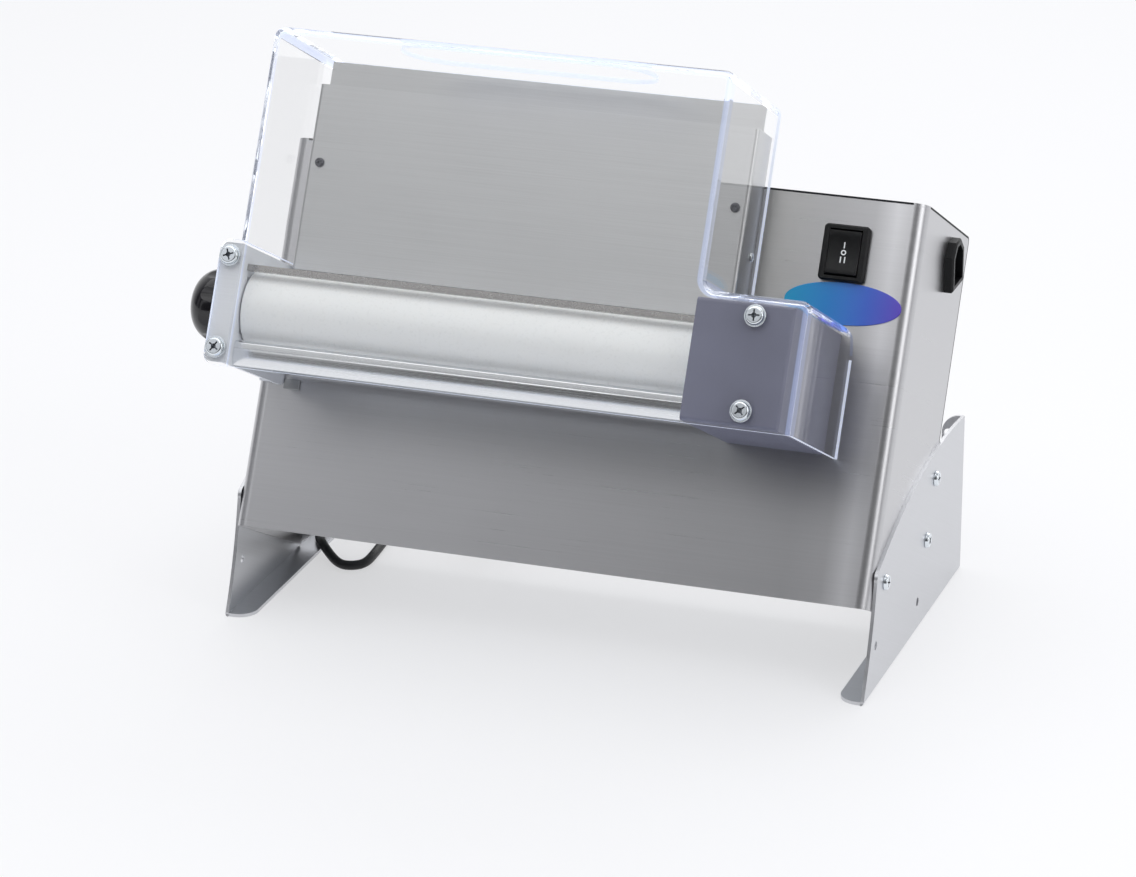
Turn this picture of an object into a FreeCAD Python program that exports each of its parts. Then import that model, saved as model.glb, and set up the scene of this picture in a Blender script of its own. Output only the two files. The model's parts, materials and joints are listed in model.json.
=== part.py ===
"""Motor driven dough roller for the worktop: one solid or group of like solids per piece.

Working frame, in millimetres: X to the machine's right, Y to the rear, Z up, with X = 0 in the middle
of the body and Y = 0 at the body's bottom front edge. The body leans back, so its pieces are drawn in
the body's own frame (x, v, w): v runs square through the front panel to the rear, w runs up the panel.
When all pieces are made they are moved together, so that the origin is the middle of the footprint box.
"""
import FreeCAD
import Part

import math
import os

os.makedirs("parts", exist_ok=True)

V = FreeCAD.Vector

# Body
TILT = 27.5
BODY_WIDTH = 475.0
BODY_HEIGHT = 286.0
BODY_DEPTH = 138.0
BODY_LIFT = 66.5
BODY_SHEET = 1.5
BODY_BEND = 10.0
COVER_BEND = 4.0
BASE_SHEET = 2.0
BASE_RECESS = 12.0
BASE_LIP = 12.0
TAB_LENGTH = 20.0
TAB_DEPTH = 14.0
TAB_HEIGHTS = (40.0, 150.0)
TAB_UNDER_TOP = 24.0
REAR_SCREW_R = 2.0
REAR_SCREW_HEAD_R = 4.0
REAR_SCREW_HEAD = 2.2
REAR_SCREW_REACH = 6.0
BASE_SCREWS_X = (-150.0, 0.0, 150.0)
VENT_LENGTH = 52.0
VENT_HEIGHT = 4.0
VENT_PITCH = 9.0
VENT_ROWS = 7
VENT_W = 186.0
VENT_X = (-110.0, 110.0)

# Foot plates, drawn upright
FOOT_SHEET = 2.5
FOOT_FLANGE = 20.0
FOOT_FRONT_Y = -15.0
FOOT_SHOULDER_Y = 15.0
FOOT_SHOULDER_Z = 86.5
FOOT_HOLLOW_Y = 2.5
FOOT_HOLLOW_DROP = 3.0
FOOT_CREST_Y = 125.0
FOOT_CREST_Z = 118.5
FOOT_REAR_Y = 250.0
FOOT_REAR_Z = 120.5
FOOT_CORNER = 5.0
FOOT_TOE = 14.0
FOOT_BEND = 2.4
REAR_FLANGE = 17.0
REAR_HOLE_R = 3.5
REAR_HOLE_INSET = 12.0
REAR_HOLE_Z = 106.0
HOLE_PITCH = 45.0
FOOT_HOLE_R = 3.1
FOOT_HOLE_INSET = 6.2
FOOT_HOLE_REAR_W = 108.7
FOOT_HOLE_FRONT_V = 27.5
FOOT_HOLE_FRONT_W = 22.7
FOOT_SCREW_R = 3.0
FOOT_SCREW_HEAD_R = 6.0
FOOT_SCREW_HEAD = 3.4
RIVET_NUT_R = 4.5
RIVET_NUT_LENGTH = 10.0

# Rollers
ROLLER_DIA = 56.0
ROLLER_GAP = 3.0
GAP_TRAVEL = 2.5
FRONT_AXIS_V = -87.0
AXIS_W = 147.0
ROLLER_LEFT_X = -212.5
ROLLER_RIGHT_X = 117.5
ROLLER_EDGE = 1.5
FRONT_SHAFT_R = 12.0
FRONT_SHAFT_END_GAP = 0.7
REAR_SHAFT_R = 10.0
REAR_SHAFT_TAIL = 1.5
REAR_SHAFT_CHAMFER = 1.0
BUSH_WALL = 2.0
RUN_GAP = 0.05
REAR_BUSH_WALL = 3.0
REAR_BUSH_FLANGE = 2.0
REAR_BUSH_FLANGE_R = 17.0

# End plates and the plate outside the gears
LEFT_PLATE_X = -213.5
RIGHT_PLATE_X = 119.5
OUTBOARD_X = 149.0
OUTBOARD_FLANGE = 27.0
PLATE = 3.0
PLATE_UNDER = 43.5
PLATE_OVER = 41.0
PLATE_FRONT_V = -125.0
PLATE_CORNER = 4.0
PLATE_NOTCH_V = -10.0
PLATE_NOTCH_OVER = 3.0
PLATE_NOTCH_STEP = 8.0
PLATE_STRAP = 5.0
LEFT_FLANGE_X = -229.0
FLANGE = 2.5
TAB_REACH = 18.0
TAB_TALL = 17.0
TAB_INSET = 2.5
TAB_SCREW_R = 2.0
TAB_SCREW_REACH = 7.8
TAB_NUT_R = 4.0
TAB_NUT = 3.2
PILLAR_R = 4.0
PILLAR_V = (-113.0, -57.5, -12.0)
PILLAR_INSET = 7.0

# Sliding bearing blocks, their slots and the adjusting shaft
BLOCK_NECK_HALF_V = 18.0
BLOCK_NECK_HALF_W = 20.0
BLOCK_HALF_V = 20.0
BLOCK_HALF_W = 25.0
BLOCK_BODY = 9.7
SLIDE_GAP = 0.15
FACE_GAP = 0.3
ECCENTRIC = 2.85
ECCENTRIC_R = 10.0
ECCENTRIC_LENGTH = 5.0
ECCENTRIC_PLAY = 1.3
ECCENTRIC_SIDE_GAP = 0.25
ADJUST_SHAFT_R = 5.0
ADJUST_SHAFT_TAIL = 2.0
BORE_SPACE = 1.0
CAP_PLATE = 3.0
CAP_HALF_V = 30.5
CAP_HALF_W = 35.0
CAP_SPACER_R = 3.2
CAP_SPACER_INSET = 0.5
CAP_GAP = 0.8
KNOB_TURN = 60.0
KNOB_R = 26.3
KNOB_LENGTH = 26.0
KNOB_SKIRT = 6.0
KNOB_CROWN_R = 9.0
KNOB_FLUTES = 9
KNOB_FLUTE_R = 20.0
KNOB_FLUTE_DEPTH = 1.2
KNOB_RIM = 2.0
KNOB_GAP = 0.7

# Gears: equal wheels, in mesh with the rollers at their closest
TEETH = 16
CLOSEST_GAP = 0.5
PRESSURE_ANGLE = 20.0
ADDENDUM = 0.95
DEDENDUM = 1.25
TOOTH_THINNING = 0.18
GEAR_X = 126.0
GEAR_WIDTH = 15.0
HUB_R = 18.0
HUB_LENGTH = 6.0

# Gear cover
GEAR_COVER_RIGHT_X = 189.0
GEAR_COVER_UNDER = 44.0
GEAR_COVER_SHEET = 1.5

# Clear cover
COVER_SHEET = 3.0
COVER_FRONT_V = -128.0
COVER_LEFT_X = -216.0
COVER_RIGHT_X = 123.0
COVER_WIDE_LEFT_X = -229.0
COVER_WIDE_RIGHT_X = 200.0
COVER_TOP = 344.0
COVER_SHOULDER_OVER = 46.0
COVER_LEFT_OVER = 43.0
COVER_UNDER = 46.0
COVER_CORNER = 8.0
COVER_EDGE = 6.0
COVER_REAR_CORNER = 22.0
COVER_REAR_GAP = 0.3
SLOT_LEFT_X = -135.0
SLOT_RIGHT_X = 53.0
SLOT_FRONT_V = -110.0
SLOT_REAR_V = -50.0
COVER_SCREW_R = 3.0
COVER_SCREW_HEAD_R = 7.75
COVER_SCREW_HEAD = 4.0
COVER_WASHER = 1.0
COVER_WASHER_INSET = 0.4
COVER_SCREWS_X = (-221.0, 162.4)
COVER_SCREWS_OVER = (31.6, -33.6)

# Chute plates above the rear roller
CHUTE_SHEET = 1.5
CHUTE_V = -35.0
CHUTE_LEFT_X = -211.0
CHUTE_RIGHT_X = 118.0
CHUTE_OVER = 38.5
CHUTE_TOP = 321.0
CHUTE_HEM = 7.0
REAR_CHUTE_V = -20.0
REAR_CHUTE_OVER = 43.0
REAR_CHUTE_GAP = 0.6
REAR_CHUTE_STEP = 4.0
CHUTE_FOOT = 12.0
CHUTE_FEET_W = (212.0, 272.0)
CHUTE_SCREW_W = 264.0
CHUTE_SCREW_INSET = 9.0
CHUTE_SCREW_R = 2.0
CHUTE_SCREW_HEAD_R = 3.6
CHUTE_SCREW_HEAD = 2.2
CHUTE_SCREW_REACH = 2.5
CHUTE_SHORT_HEAD = 1.6
CHUTE_SHORT_REACH = 2.0
CHUTE_SPACER_R = 4.5
SIDE_SCREW_V = -9.0
SIDE_SCREW_W = 234.0

# Bars and slide under the rollers, roller window and the pan behind it
BAR_V = -111.0
BAR_DEPTH = 6.0
BAR_OVER = 24.5
BAR_HEIGHT = 4.5
BAR_SHOULDER = 0.5
SCRAPER_V = -113.0
SCRAPER_UNDER = 31.0
SCRAPER_HEIGHT = 6.0
SCRAPER_REACH = 9.0
SCRAPER_NOSE = 2.0
SCRAPER_SLOPE = 3.0
SCRAPER_EDGE = 1.2
SCRAPER_WEB = 4.0
SCRAPER_ROUND = 0.8
SLIDE_SHEET = 1.5
SLIDE_FRONT_V = -32.0
SLIDE_UNDER = 37.0
SLIDE_RISE = 2.6
SLIDE_FLANGE = 13.4
SLIDE_BEND = 3.0
WINDOW_LEFT_X = -219.0
WINDOW_RIGHT_X = 118.5
WINDOW_UNDER = 20.0
WINDOW_OVER = 36.0
PAN_RIM = 6.0
PAN_END_RIM = 1.7
PAN_DEPTH = 9.0
GEAR_WINDOW_GAP = 2.0

# Gearmotor inside the body
GEARBOX_X = 152.0
GEARBOX_LENGTH = 34.0
GEARBOX_LID = 6.0
GEARBOX_NOSE_R = 25.0
GEARBOX_SPACE = 16.0
GEARBOX_FOOT_HALF = 42.0
OUTPUT_SHAFT_R = 8.0
OUTPUT_SHAFT_TAIL = 2.0
GEARBOX_BOLT_R = 3.0
GEARBOX_BOLT_INSET_X = 8.0
GEARBOX_BOLT_INSET_V = 7.0
GEARBOX_BOLT_TAIL = 5.0
GEARBOX_BOLT_HEAD = 3.5
GEARBOX_NUT = 4.0
GEARBOX_NUT_WALL = 2.0
GEARBOX_FOOT = 8.0
GEARBOX_BOSS = 4.0
GEARBOX_BOSS_WALL = 6.0
GEARBOX_SHAFT_SEAT = 19.0
GEARBOX_WEB = 5.0
GEARBOX_WEB_HALF = 30.0
GEARBOX_LID_INSET = 3.0
MOTOR_DROP = 67.0
MOTOR_GEAR_GAP = 3.5
MOTOR_R = 43.0
MOTOR_FIN_R = 47.0
MOTOR_FINS = 14
MOTOR_FIN_WIDTH = 3.0
MOTOR_LENGTH = 120.0
MOTOR_SHIELD = 9.0
FAN_COVER_R = 46.0
FAN_COVER_LENGTH = 34.0
FAN_COVER_SHEET = 1.5
FAN_COVER_EDGE = 6.0
FAN_SLOT_PITCH = 12.0
FAN_SLOT_HALF = 2.0
FAN_GRILLE_R = 34.0
FAN_R = 38.0
FAN_BLADES = 6
FAN_WIDTH = 14.0
FAN_DISC = 2.0
FAN_STANDOFF = 6.0
FAN_HUB_WALL = 5.0
MOTOR_SHAFT_R = 6.0
MOTOR_SHAFT_SEAT = 28.0

# Electrical pieces
CAPACITOR_R = 17.5
CAPACITOR_LENGTH = 75.0
CAPACITOR_X = -60.0
CAPACITOR_V = 24.0
CAPACITOR_UNDER = 54.0
CAPACITOR_EDGE = 2.0
CAPACITOR_CAP = 8.0
CAPACITOR_CAP_R = 13.5
CLIP_SHEET = 1.5
CLIP_WIDTH = 18.0
CLIP_SCREW_R = 2.0
CLIP_SCREW_HEAD_R = 3.6
CLIP_SCREW_HEAD = 1.6
CLIP_SCREW_REACH = 3.0
CLIP_SCREW_RISE = 8.0
CLIP_TAB = 14.0
BOX_X = -195.0
BOX_WIDTH = 85.0
BOX_V = 34.0
BOX_DEPTH = 62.0
BOX_HEIGHT = 58.0
BOX_EDGE = 4.0
BOX_LID = 5.0
BOX_LID_RIM = 1.0
SWITCH_X = 184.0
SWITCH_GAP = 0.2
SWITCH_WIDTH = 33.0
SWITCH_HEIGHT = 40.0
SWITCH_RAISE = 5.0
SWITCH_BODY_WIDTH = 28.0
SWITCH_BODY_HEIGHT = 36.0
SWITCH_BODY_DEPTH = 26.0
SWITCH_CORNER = 3.0
SWITCH_CHAMFER = 1.2
TERMINAL_HALF = 0.4
TERMINAL_LENGTH = 8.0
TERMINAL_HALF_HEIGHT = 3.0
TERMINAL_PITCH = 11.0
ROCKER_R = 16.4
ROCKER_HALF_X = 11.5
ROCKER_FACE = 6.2
ROCKER_GAP = 0.3
ROCKER_PIN_R = 1.6
ROCKER_PIN = 1.5
ROCKER_DISH = 0.9
ROCKER_DISH_R = 90.0
OVAL_X = 187.5
OVAL_GAP = 1.8
OVAL_HALF_X = 42.5
OVAL_HALF_W = 15.0
OVAL_THICK = 1.0
SOCKET_Y = 198.0
SOCKET_Z = 255.5
SOCKET_WIDTH = 30.0
SOCKET_HEIGHT = 35.0
SOCKET_RAISE = 7.0
SOCKET_CHAMFER = 9.0
SOCKET_EDGE = 1.2
SOCKET_STEP = 2.0
SOCKET_BODY = 22.0
SOCKET_WALL = 4.0
SOCKET_FLOOR = 4.0
SOCKET_BLADE = 2.0
SOCKET_BLADE_HEIGHT = 4.0
SOCKET_BLADE_SPACING = 7.0
SOCKET_EARTH_RISE = 4.0

# Cord: the gland on the rear panel, the free stretch, the coil behind the body, the plug
CORD_R = 3.5
GLAND_X = -100.0
GLAND_W = 48.0
GLAND_R = 8.5
GLAND_THREAD_R = 6.0
GLAND_LENGTH = 18.0
GLAND_COLLAR = 5.0
GLAND_NUT = 4.0
GLAND_HEX = 1.5
GLAND_MOUTH_WALL = 2.0
CORD_FLOOR = 3.7
CORD_ON_FLANGE = 6.6
COIL_X = -150.0
COIL_Y = 352.0
COIL_OUTER = 50.5
COIL_PITCH = 7.8
COIL_TURNS = 2.5
COIL_LAYER = 7.7
COIL_TAIL = 70.0
PLUG_REST = 0.2
PLUG_R = 18.5
PLUG_LENGTH = 36.0
PLUG_NECK = 16.0
PLUG_NECK_R = 6.0
PLUG_NECK_FLARE = 3.0
PLUG_SHOULDER = 8.0
PLUG_PIN_R = 2.4
PLUG_PIN_LENGTH = 19.0
PLUG_PIN_SEAT = 8.0
PLUG_PIN_SPACING = 19.0

# Sizes worked out from the ones above
COS = math.cos(math.radians(TILT))
SIN = math.sin(math.radians(TILT))
HALF_WIDTH = BODY_WIDTH / 2
FOOT_FACE = HALF_WIDTH + FOOT_SHEET
REAR_AXIS_V = FRONT_AXIS_V + ROLLER_DIA + ROLLER_GAP
PITCH_DIA = ROLLER_DIA + CLOSEST_GAP
MODULE = PITCH_DIA / TEETH
TIP_R = PITCH_DIA / 2 + ADDENDUM * MODULE
DRIVE_AXIS_V = REAR_AXIS_V + PITCH_DIA
GEAR_PITCH_ANGLE = 360.0 / TEETH
COVER_FACE_V = COVER_FRONT_V + COVER_SHEET
BUSH_R = FRONT_SHAFT_R + BUSH_WALL
HOLLOW_BORE_R = ADJUST_SHAFT_R + GAP_TRAVEL + BORE_SPACE
LEFT_PLATE_OUT = LEFT_PLATE_X - PLATE
LEFT_BLOCK_OUT = LEFT_PLATE_OUT - FACE_GAP - BLOCK_BODY
RIGHT_BLOCK_OUT = OUTBOARD_X + PLATE + FACE_GAP + BLOCK_BODY
ECCENTRIC_POCKET = ECCENTRIC_LENGTH + ECCENTRIC_PLAY
LEFT_CAP_X = LEFT_BLOCK_OUT - CAP_GAP - CAP_PLATE
RIGHT_CAP_X = RIGHT_BLOCK_OUT + CAP_GAP
PLATE_BOTTOM = AXIS_W - PLATE_UNDER
PLATE_TOP = AXIS_W + PLATE_OVER
GEAR_COVER_BOTTOM = AXIS_W - GEAR_COVER_UNDER
GEAR_COVER_TOP = PLATE_TOP
COVER_SHOULDER = AXIS_W + COVER_SHOULDER_OVER
COVER_LEFT_SHOULDER = AXIS_W + COVER_LEFT_OVER
COVER_BOTTOM = AXIS_W - COVER_UNDER
COVER_SCREWS = [(x, AXIS_W + over) for x in COVER_SCREWS_X for over in COVER_SCREWS_OVER]
CHUTE_BOTTOM = AXIS_W + CHUTE_OVER
REAR_CHUTE_BOTTOM = AXIS_W + REAR_CHUTE_OVER
BAR_W = AXIS_W + BAR_OVER
SCRAPER_W = AXIS_W - SCRAPER_UNDER
SCRAPER_TOP = SCRAPER_W + SCRAPER_HEIGHT
WINDOW_BOTTOM = AXIS_W - WINDOW_UNDER
WINDOW_TOP = AXIS_W + WINDOW_OVER
MOTOR_CENTRES = TIP_R + MOTOR_FIN_R + MOTOR_GEAR_GAP
MOTOR_V = DRIVE_AXIS_V + math.sqrt(MOTOR_CENTRES ** 2 - MOTOR_DROP ** 2)
MOTOR_W = AXIS_W - MOTOR_DROP
GEARBOX_BODY_R = MOTOR_W - BASE_RECESS - BASE_SHEET - GEARBOX_SPACE
OVAL_W = COVER_SHOULDER + OVAL_GAP + OVAL_HALF_W
SWITCH_W = OVAL_W + OVAL_HALF_W + SWITCH_GAP + SWITCH_HEIGHT / 2
GLAND_OUT_V = BODY_DEPTH + GLAND_LENGTH
CAPACITOR_W = BODY_HEIGHT - CAPACITOR_UNDER
FOOT_HOLE_REAR_V = BODY_DEPTH - FOOT_HOLE_INSET
REAR_TAB_HEIGHTS = TAB_HEIGHTS + (BODY_HEIGHT - TAB_UNDER_TOP,)


def unit(vector):
    """The vector at length one."""
    return vector * (1.0 / vector.Length)


def place(view, a, b, depth):
    """A point given in a view: front is (x, w), side is (v, w), top is (x, v)."""
    if view == "front":
        return V(a, depth, b)
    if view == "side":
        return V(depth, a, b)
    return V(a, b, depth)


def outline(view, corners, depth):
    """Closed wire through corners (a, b) or (a, b, radius), each radius as a tangent arc."""
    flat = [V(corner[0], corner[1], 0) for corner in corners]
    radii = [corner[2] if len(corner) > 2 else 0.0 for corner in corners]
    stretches = []
    for index, point in enumerate(flat):
        back = unit(flat[index - 1] - point)
        ahead = unit(flat[(index + 1) % len(flat)] - point)
        radius = radii[index]
        if radius == 0.0:
            stretches.append((point, None, point))
            continue
        half = back.getAngle(ahead) / 2
        reach = radius / math.tan(half)
        inward = unit(back + ahead)
        middle = point + inward * (radius / math.sin(half) - radius)
        stretches.append((point + back * reach, middle, point + ahead * reach))

    def lift(point):
        return place(view, point.x, point.y, depth)

    edges = []
    for index, (start, middle, end) in enumerate(stretches):
        if middle is not None:
            edges.append(Part.Arc(lift(start), lift(middle), lift(end)).toShape())
        following = stretches[(index + 1) % len(stretches)][0]
        if end.distanceToPoint(following) > 1e-6:
            edges.append(Part.LineSegment(lift(end), lift(following)).toShape())
    return Part.Wire(edges)


def prism(view, corners, start, end):
    """Solid of an outline drawn in a view, from one depth to the other."""
    face = Part.Face(outline(view, corners, start))
    return face.extrude(place(view, 0, 0, end - start))


def block(x0, x1, v0, v1, w0, w1):
    """Box between the given limits."""
    return Part.makeBox(x1 - x0, v1 - v0, w1 - w0, V(x0, v0, w0))


def rod(x0, x1, v, w, radius):
    """Round bar along x."""
    return Part.makeCylinder(radius, x1 - x0, V(x0, v, w), V(1, 0, 0))


def ring(x0, x1, v, w, radius, bore):
    """Round tube along x."""
    return rod(x0, x1, v, w, radius).cut(rod(x0, x1, v, w, bore))


def peg(x, w, v0, v1, radius):
    """Round bar along v."""
    return Part.makeCylinder(radius, v1 - v0, V(x, v0, w), V(0, 1, 0))


def fuse(shapes):
    """One shape out of many."""
    whole = shapes[0].multiFuse(shapes[1:])
    return whole.removeSplitter()


def group(shapes):
    """Separate solids kept together."""
    return Part.makeCompound(shapes)


def domed_head(radius, height):
    """Screw head with its flat side at z = 0, the dome towards +Z."""
    lift = (radius ** 2 - height ** 2) / (2 * height)
    ball = Part.makeSphere(radius if lift <= 0 else lift + height, V(0, 0, -max(lift, 0)))
    return ball.common(Part.makeCylinder(radius, height))


def screw(head_r, head, shank_r, shank):
    """Pan head screw: head towards +Z, shank down from z = 0."""
    return domed_head(head_r, head).fuse(Part.makeCylinder(shank_r, shank, V(0, 0, -shank)))


def aim(shape, at, direction):
    """Shape turned so that its +Z points along direction, and moved to a point."""
    turned = shape.copy()
    turned.Placement = FreeCAD.Placement(at, FreeCAD.Rotation(V(0, 0, 1), direction))
    return turned


def rounded_slot(x, w, length, height):
    """Corners of a slot with round ends, drawn in the front view."""
    round_end = height / 2 - 0.01
    return [
        (x - length / 2, w - height / 2, round_end),
        (x + length / 2, w - height / 2, round_end),
        (x + length / 2, w + height / 2, round_end),
        (x - length / 2, w + height / 2, round_end),
    ]


# Body

def panel_screw_places():
    """Centres (x, w) of the screws that hold the end plates' tabs to the front panel."""
    heights = (PLATE_BOTTOM + TAB_TALL / 2 + TAB_INSET, PLATE_TOP - TAB_TALL / 2 - TAB_INSET)
    columns = (LEFT_PLATE_OUT - TAB_SCREW_REACH, RIGHT_PLATE_X + PLATE + TAB_SCREW_REACH)
    return [(x, w) for x in columns for w in heights]


def foot_hole_places():
    """Centres (v, w) of the screwed and the spare holes in a foot plate."""
    rear = [(FOOT_HOLE_REAR_V, FOOT_HOLE_REAR_W - step * HOLE_PITCH) for step in range(3)]
    front = [(FOOT_HOLE_FRONT_V, FOOT_HOLE_FRONT_W - step * HOLE_PITCH) for step in range(2)]
    return [rear[0], rear[1], front[0]], [rear[2], front[1]]


def front_housing():
    """Front panel and both side walls, bent from one sheet, with tabs for the rear cover."""
    top = BODY_HEIGHT - BODY_SHEET
    rear = BODY_DEPTH - BODY_SHEET
    inner = HALF_WIDTH - BODY_SHEET
    outer = prism("top", [
        (-HALF_WIDTH, rear), (-HALF_WIDTH, 0, BODY_BEND),
        (HALF_WIDTH, 0, BODY_BEND), (HALF_WIDTH, rear)], 0, top)
    hollow = prism("top", [
        (-inner, rear + 1), (-inner, BODY_SHEET, BODY_BEND - BODY_SHEET),
        (inner, BODY_SHEET, BODY_BEND - BODY_SHEET), (inner, rear + 1)], -1, top + 1)
    shell = outer.cut(hollow)
    tabs = []
    for side in (-1, 1):
        for height in REAR_TAB_HEIGHTS:
            near, far = sorted((side * inner, side * (inner - TAB_DEPTH)))
            tabs.append(block(near, far, rear - BODY_SHEET, rear, height - TAB_LENGTH / 2,
                              height + TAB_LENGTH / 2))
    shell = shell.fuse(tabs)
    bend = COVER_BEND - BODY_SHEET
    corner = block(-HALF_WIDTH - 1, HALF_WIDTH + 1, rear - bend, rear + 1, top - bend, top + 1)
    corner = corner.cut(rod(-HALF_WIDTH - 2, HALF_WIDTH + 2, rear - bend, top - bend, bend))
    gear_half = math.sqrt(TIP_R ** 2 - DRIVE_AXIS_V ** 2) + 2 * GEAR_WINDOW_GAP
    cuts = [
        corner,
        prism("front", [
            (WINDOW_LEFT_X, WINDOW_BOTTOM, PLATE_CORNER), (WINDOW_RIGHT_X, WINDOW_BOTTOM, PLATE_CORNER),
            (WINDOW_RIGHT_X, WINDOW_TOP, PLATE_CORNER), (WINDOW_LEFT_X, WINDOW_TOP, PLATE_CORNER)],
            -1, BODY_SHEET + 1),
        block(GEAR_X - GEAR_WINDOW_GAP, GEAR_X + GEAR_WIDTH + GEAR_WINDOW_GAP, -1, BODY_SHEET + 1,
              AXIS_W - gear_half, AXIS_W + gear_half),
        block(SWITCH_X - SWITCH_BODY_WIDTH / 2, SWITCH_X + SWITCH_BODY_WIDTH / 2, -1, BODY_SHEET + 1,
              SWITCH_W - SWITCH_BODY_HEIGHT / 2, SWITCH_W + SWITCH_BODY_HEIGHT / 2),
    ]
    for x, w in panel_screw_places():
        cuts.append(peg(x, w, -1, BODY_SHEET + 1, TAB_SCREW_R))
    for x, w in chute_foot_places():
        cuts.append(peg(x, w, -1, BODY_SHEET + 1, CHUTE_SCREW_R))
    for x, w in rear_tab_places():
        cuts.append(peg(x, w, rear - BODY_SHEET - 1, rear + 1, REAR_SCREW_R))
    screwed, _ = foot_hole_places()
    for side in (-1, 1):
        for v, w in screwed:
            near, far = sorted((side * (inner - 1), side * (HALF_WIDTH + 1)))
            cuts.append(rod(near, far, v, w, RIVET_NUT_R))
    cuts.append(clip_hole())
    shell = shell.cut(cuts)
    return shell.cut(upright_in_body(socket_hole()))


def rear_tab_places():
    """Centres (x, w) of the screws through the rear cover into the housing's tabs."""
    column = HALF_WIDTH - BODY_SHEET - TAB_DEPTH / 2
    return [(side * column, height) for side in (-1, 1) for height in REAR_TAB_HEIGHTS]


def base_screw_places():
    """Centres (x, w) of the screws through the rear cover into the base plate's lip."""
    return [(x, BASE_RECESS + BASE_SHEET + BASE_LIP / 2) for x in BASE_SCREWS_X]


def rear_cover():
    """Top and back in one bent sheet, with two banks of vent slots and the gland's hole."""
    top = BODY_HEIGHT
    sheet = prism("side", [
        (0, top), (0, top - BODY_SHEET),
        (BODY_DEPTH - BODY_SHEET, top - BODY_SHEET, COVER_BEND - BODY_SHEET),
        (BODY_DEPTH - BODY_SHEET, BASE_RECESS), (BODY_DEPTH, BASE_RECESS),
        (BODY_DEPTH, top, COVER_BEND)], -HALF_WIDTH, HALF_WIDTH)
    plan = prism("top", [
        (-HALF_WIDTH, BODY_DEPTH), (-HALF_WIDTH, 0, BODY_BEND),
        (HALF_WIDTH, 0, BODY_BEND), (HALF_WIDTH, BODY_DEPTH)], 0, top)
    sheet = sheet.common(plan)
    through = (BODY_DEPTH - BODY_SHEET - 1, BODY_DEPTH + 1)
    cuts = []
    for x in VENT_X:
        for row in range(VENT_ROWS):
            slot = rounded_slot(x, VENT_W + row * VENT_PITCH, VENT_LENGTH, VENT_HEIGHT)
            cuts.append(prism("front", slot, *through))
    for x, w in rear_tab_places() + base_screw_places():
        cuts.append(peg(x, w, *through, REAR_SCREW_R))
    cuts.append(peg(GLAND_X, GLAND_W, *through, GLAND_THREAD_R))
    return sheet.cut(cuts)


def rear_cover_screws():
    """Screws that hold the rear cover to the tabs and to the base plate."""
    one = screw(REAR_SCREW_HEAD_R, REAR_SCREW_HEAD, REAR_SCREW_R, BODY_SHEET + REAR_SCREW_REACH)
    return group([aim(one, V(x, BODY_DEPTH, w), V(0, 1, 0))
                  for x, w in rear_tab_places() + base_screw_places()])


def base_plate():
    """Recessed bottom tray with upturned lips against the four walls."""
    x = HALF_WIDTH - BODY_SHEET
    front = BODY_SHEET
    rear = BODY_DEPTH - BODY_SHEET
    floor = BASE_RECESS
    corner = BODY_BEND - BODY_SHEET
    tray = prism("top", [
        (-x, rear), (-x, front, corner), (x, front, corner), (x, rear)],
        floor, floor + BASE_SHEET + BASE_LIP)
    hollow = prism("top", [
        (-x + BASE_SHEET, rear - BASE_SHEET), (-x + BASE_SHEET, front + BASE_SHEET, corner - BASE_SHEET),
        (x - BASE_SHEET, front + BASE_SHEET, corner - BASE_SHEET), (x - BASE_SHEET, rear - BASE_SHEET)],
        floor + BASE_SHEET, floor + BASE_SHEET + BASE_LIP + 1)
    cuts = [hollow]
    for place_x, w in base_screw_places():
        cuts.append(peg(place_x, w, rear - BASE_SHEET - 1, rear + 1, REAR_SCREW_R))
    for place_x, v in gearbox_bolt_places():
        cuts.append(Part.makeCylinder(GEARBOX_BOLT_R, BASE_SHEET + 2, V(place_x, v, floor - 1)))
    screwed, _ = foot_hole_places()
    for v, w in screwed:
        cuts.append(rod(-x - 1, -x + BASE_SHEET + 1, v, w, RIVET_NUT_R))
        cuts.append(rod(x - BASE_SHEET - 1, x + 1, v, w, RIVET_NUT_R))
    return tray.cut(cuts)


# Feet

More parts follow.
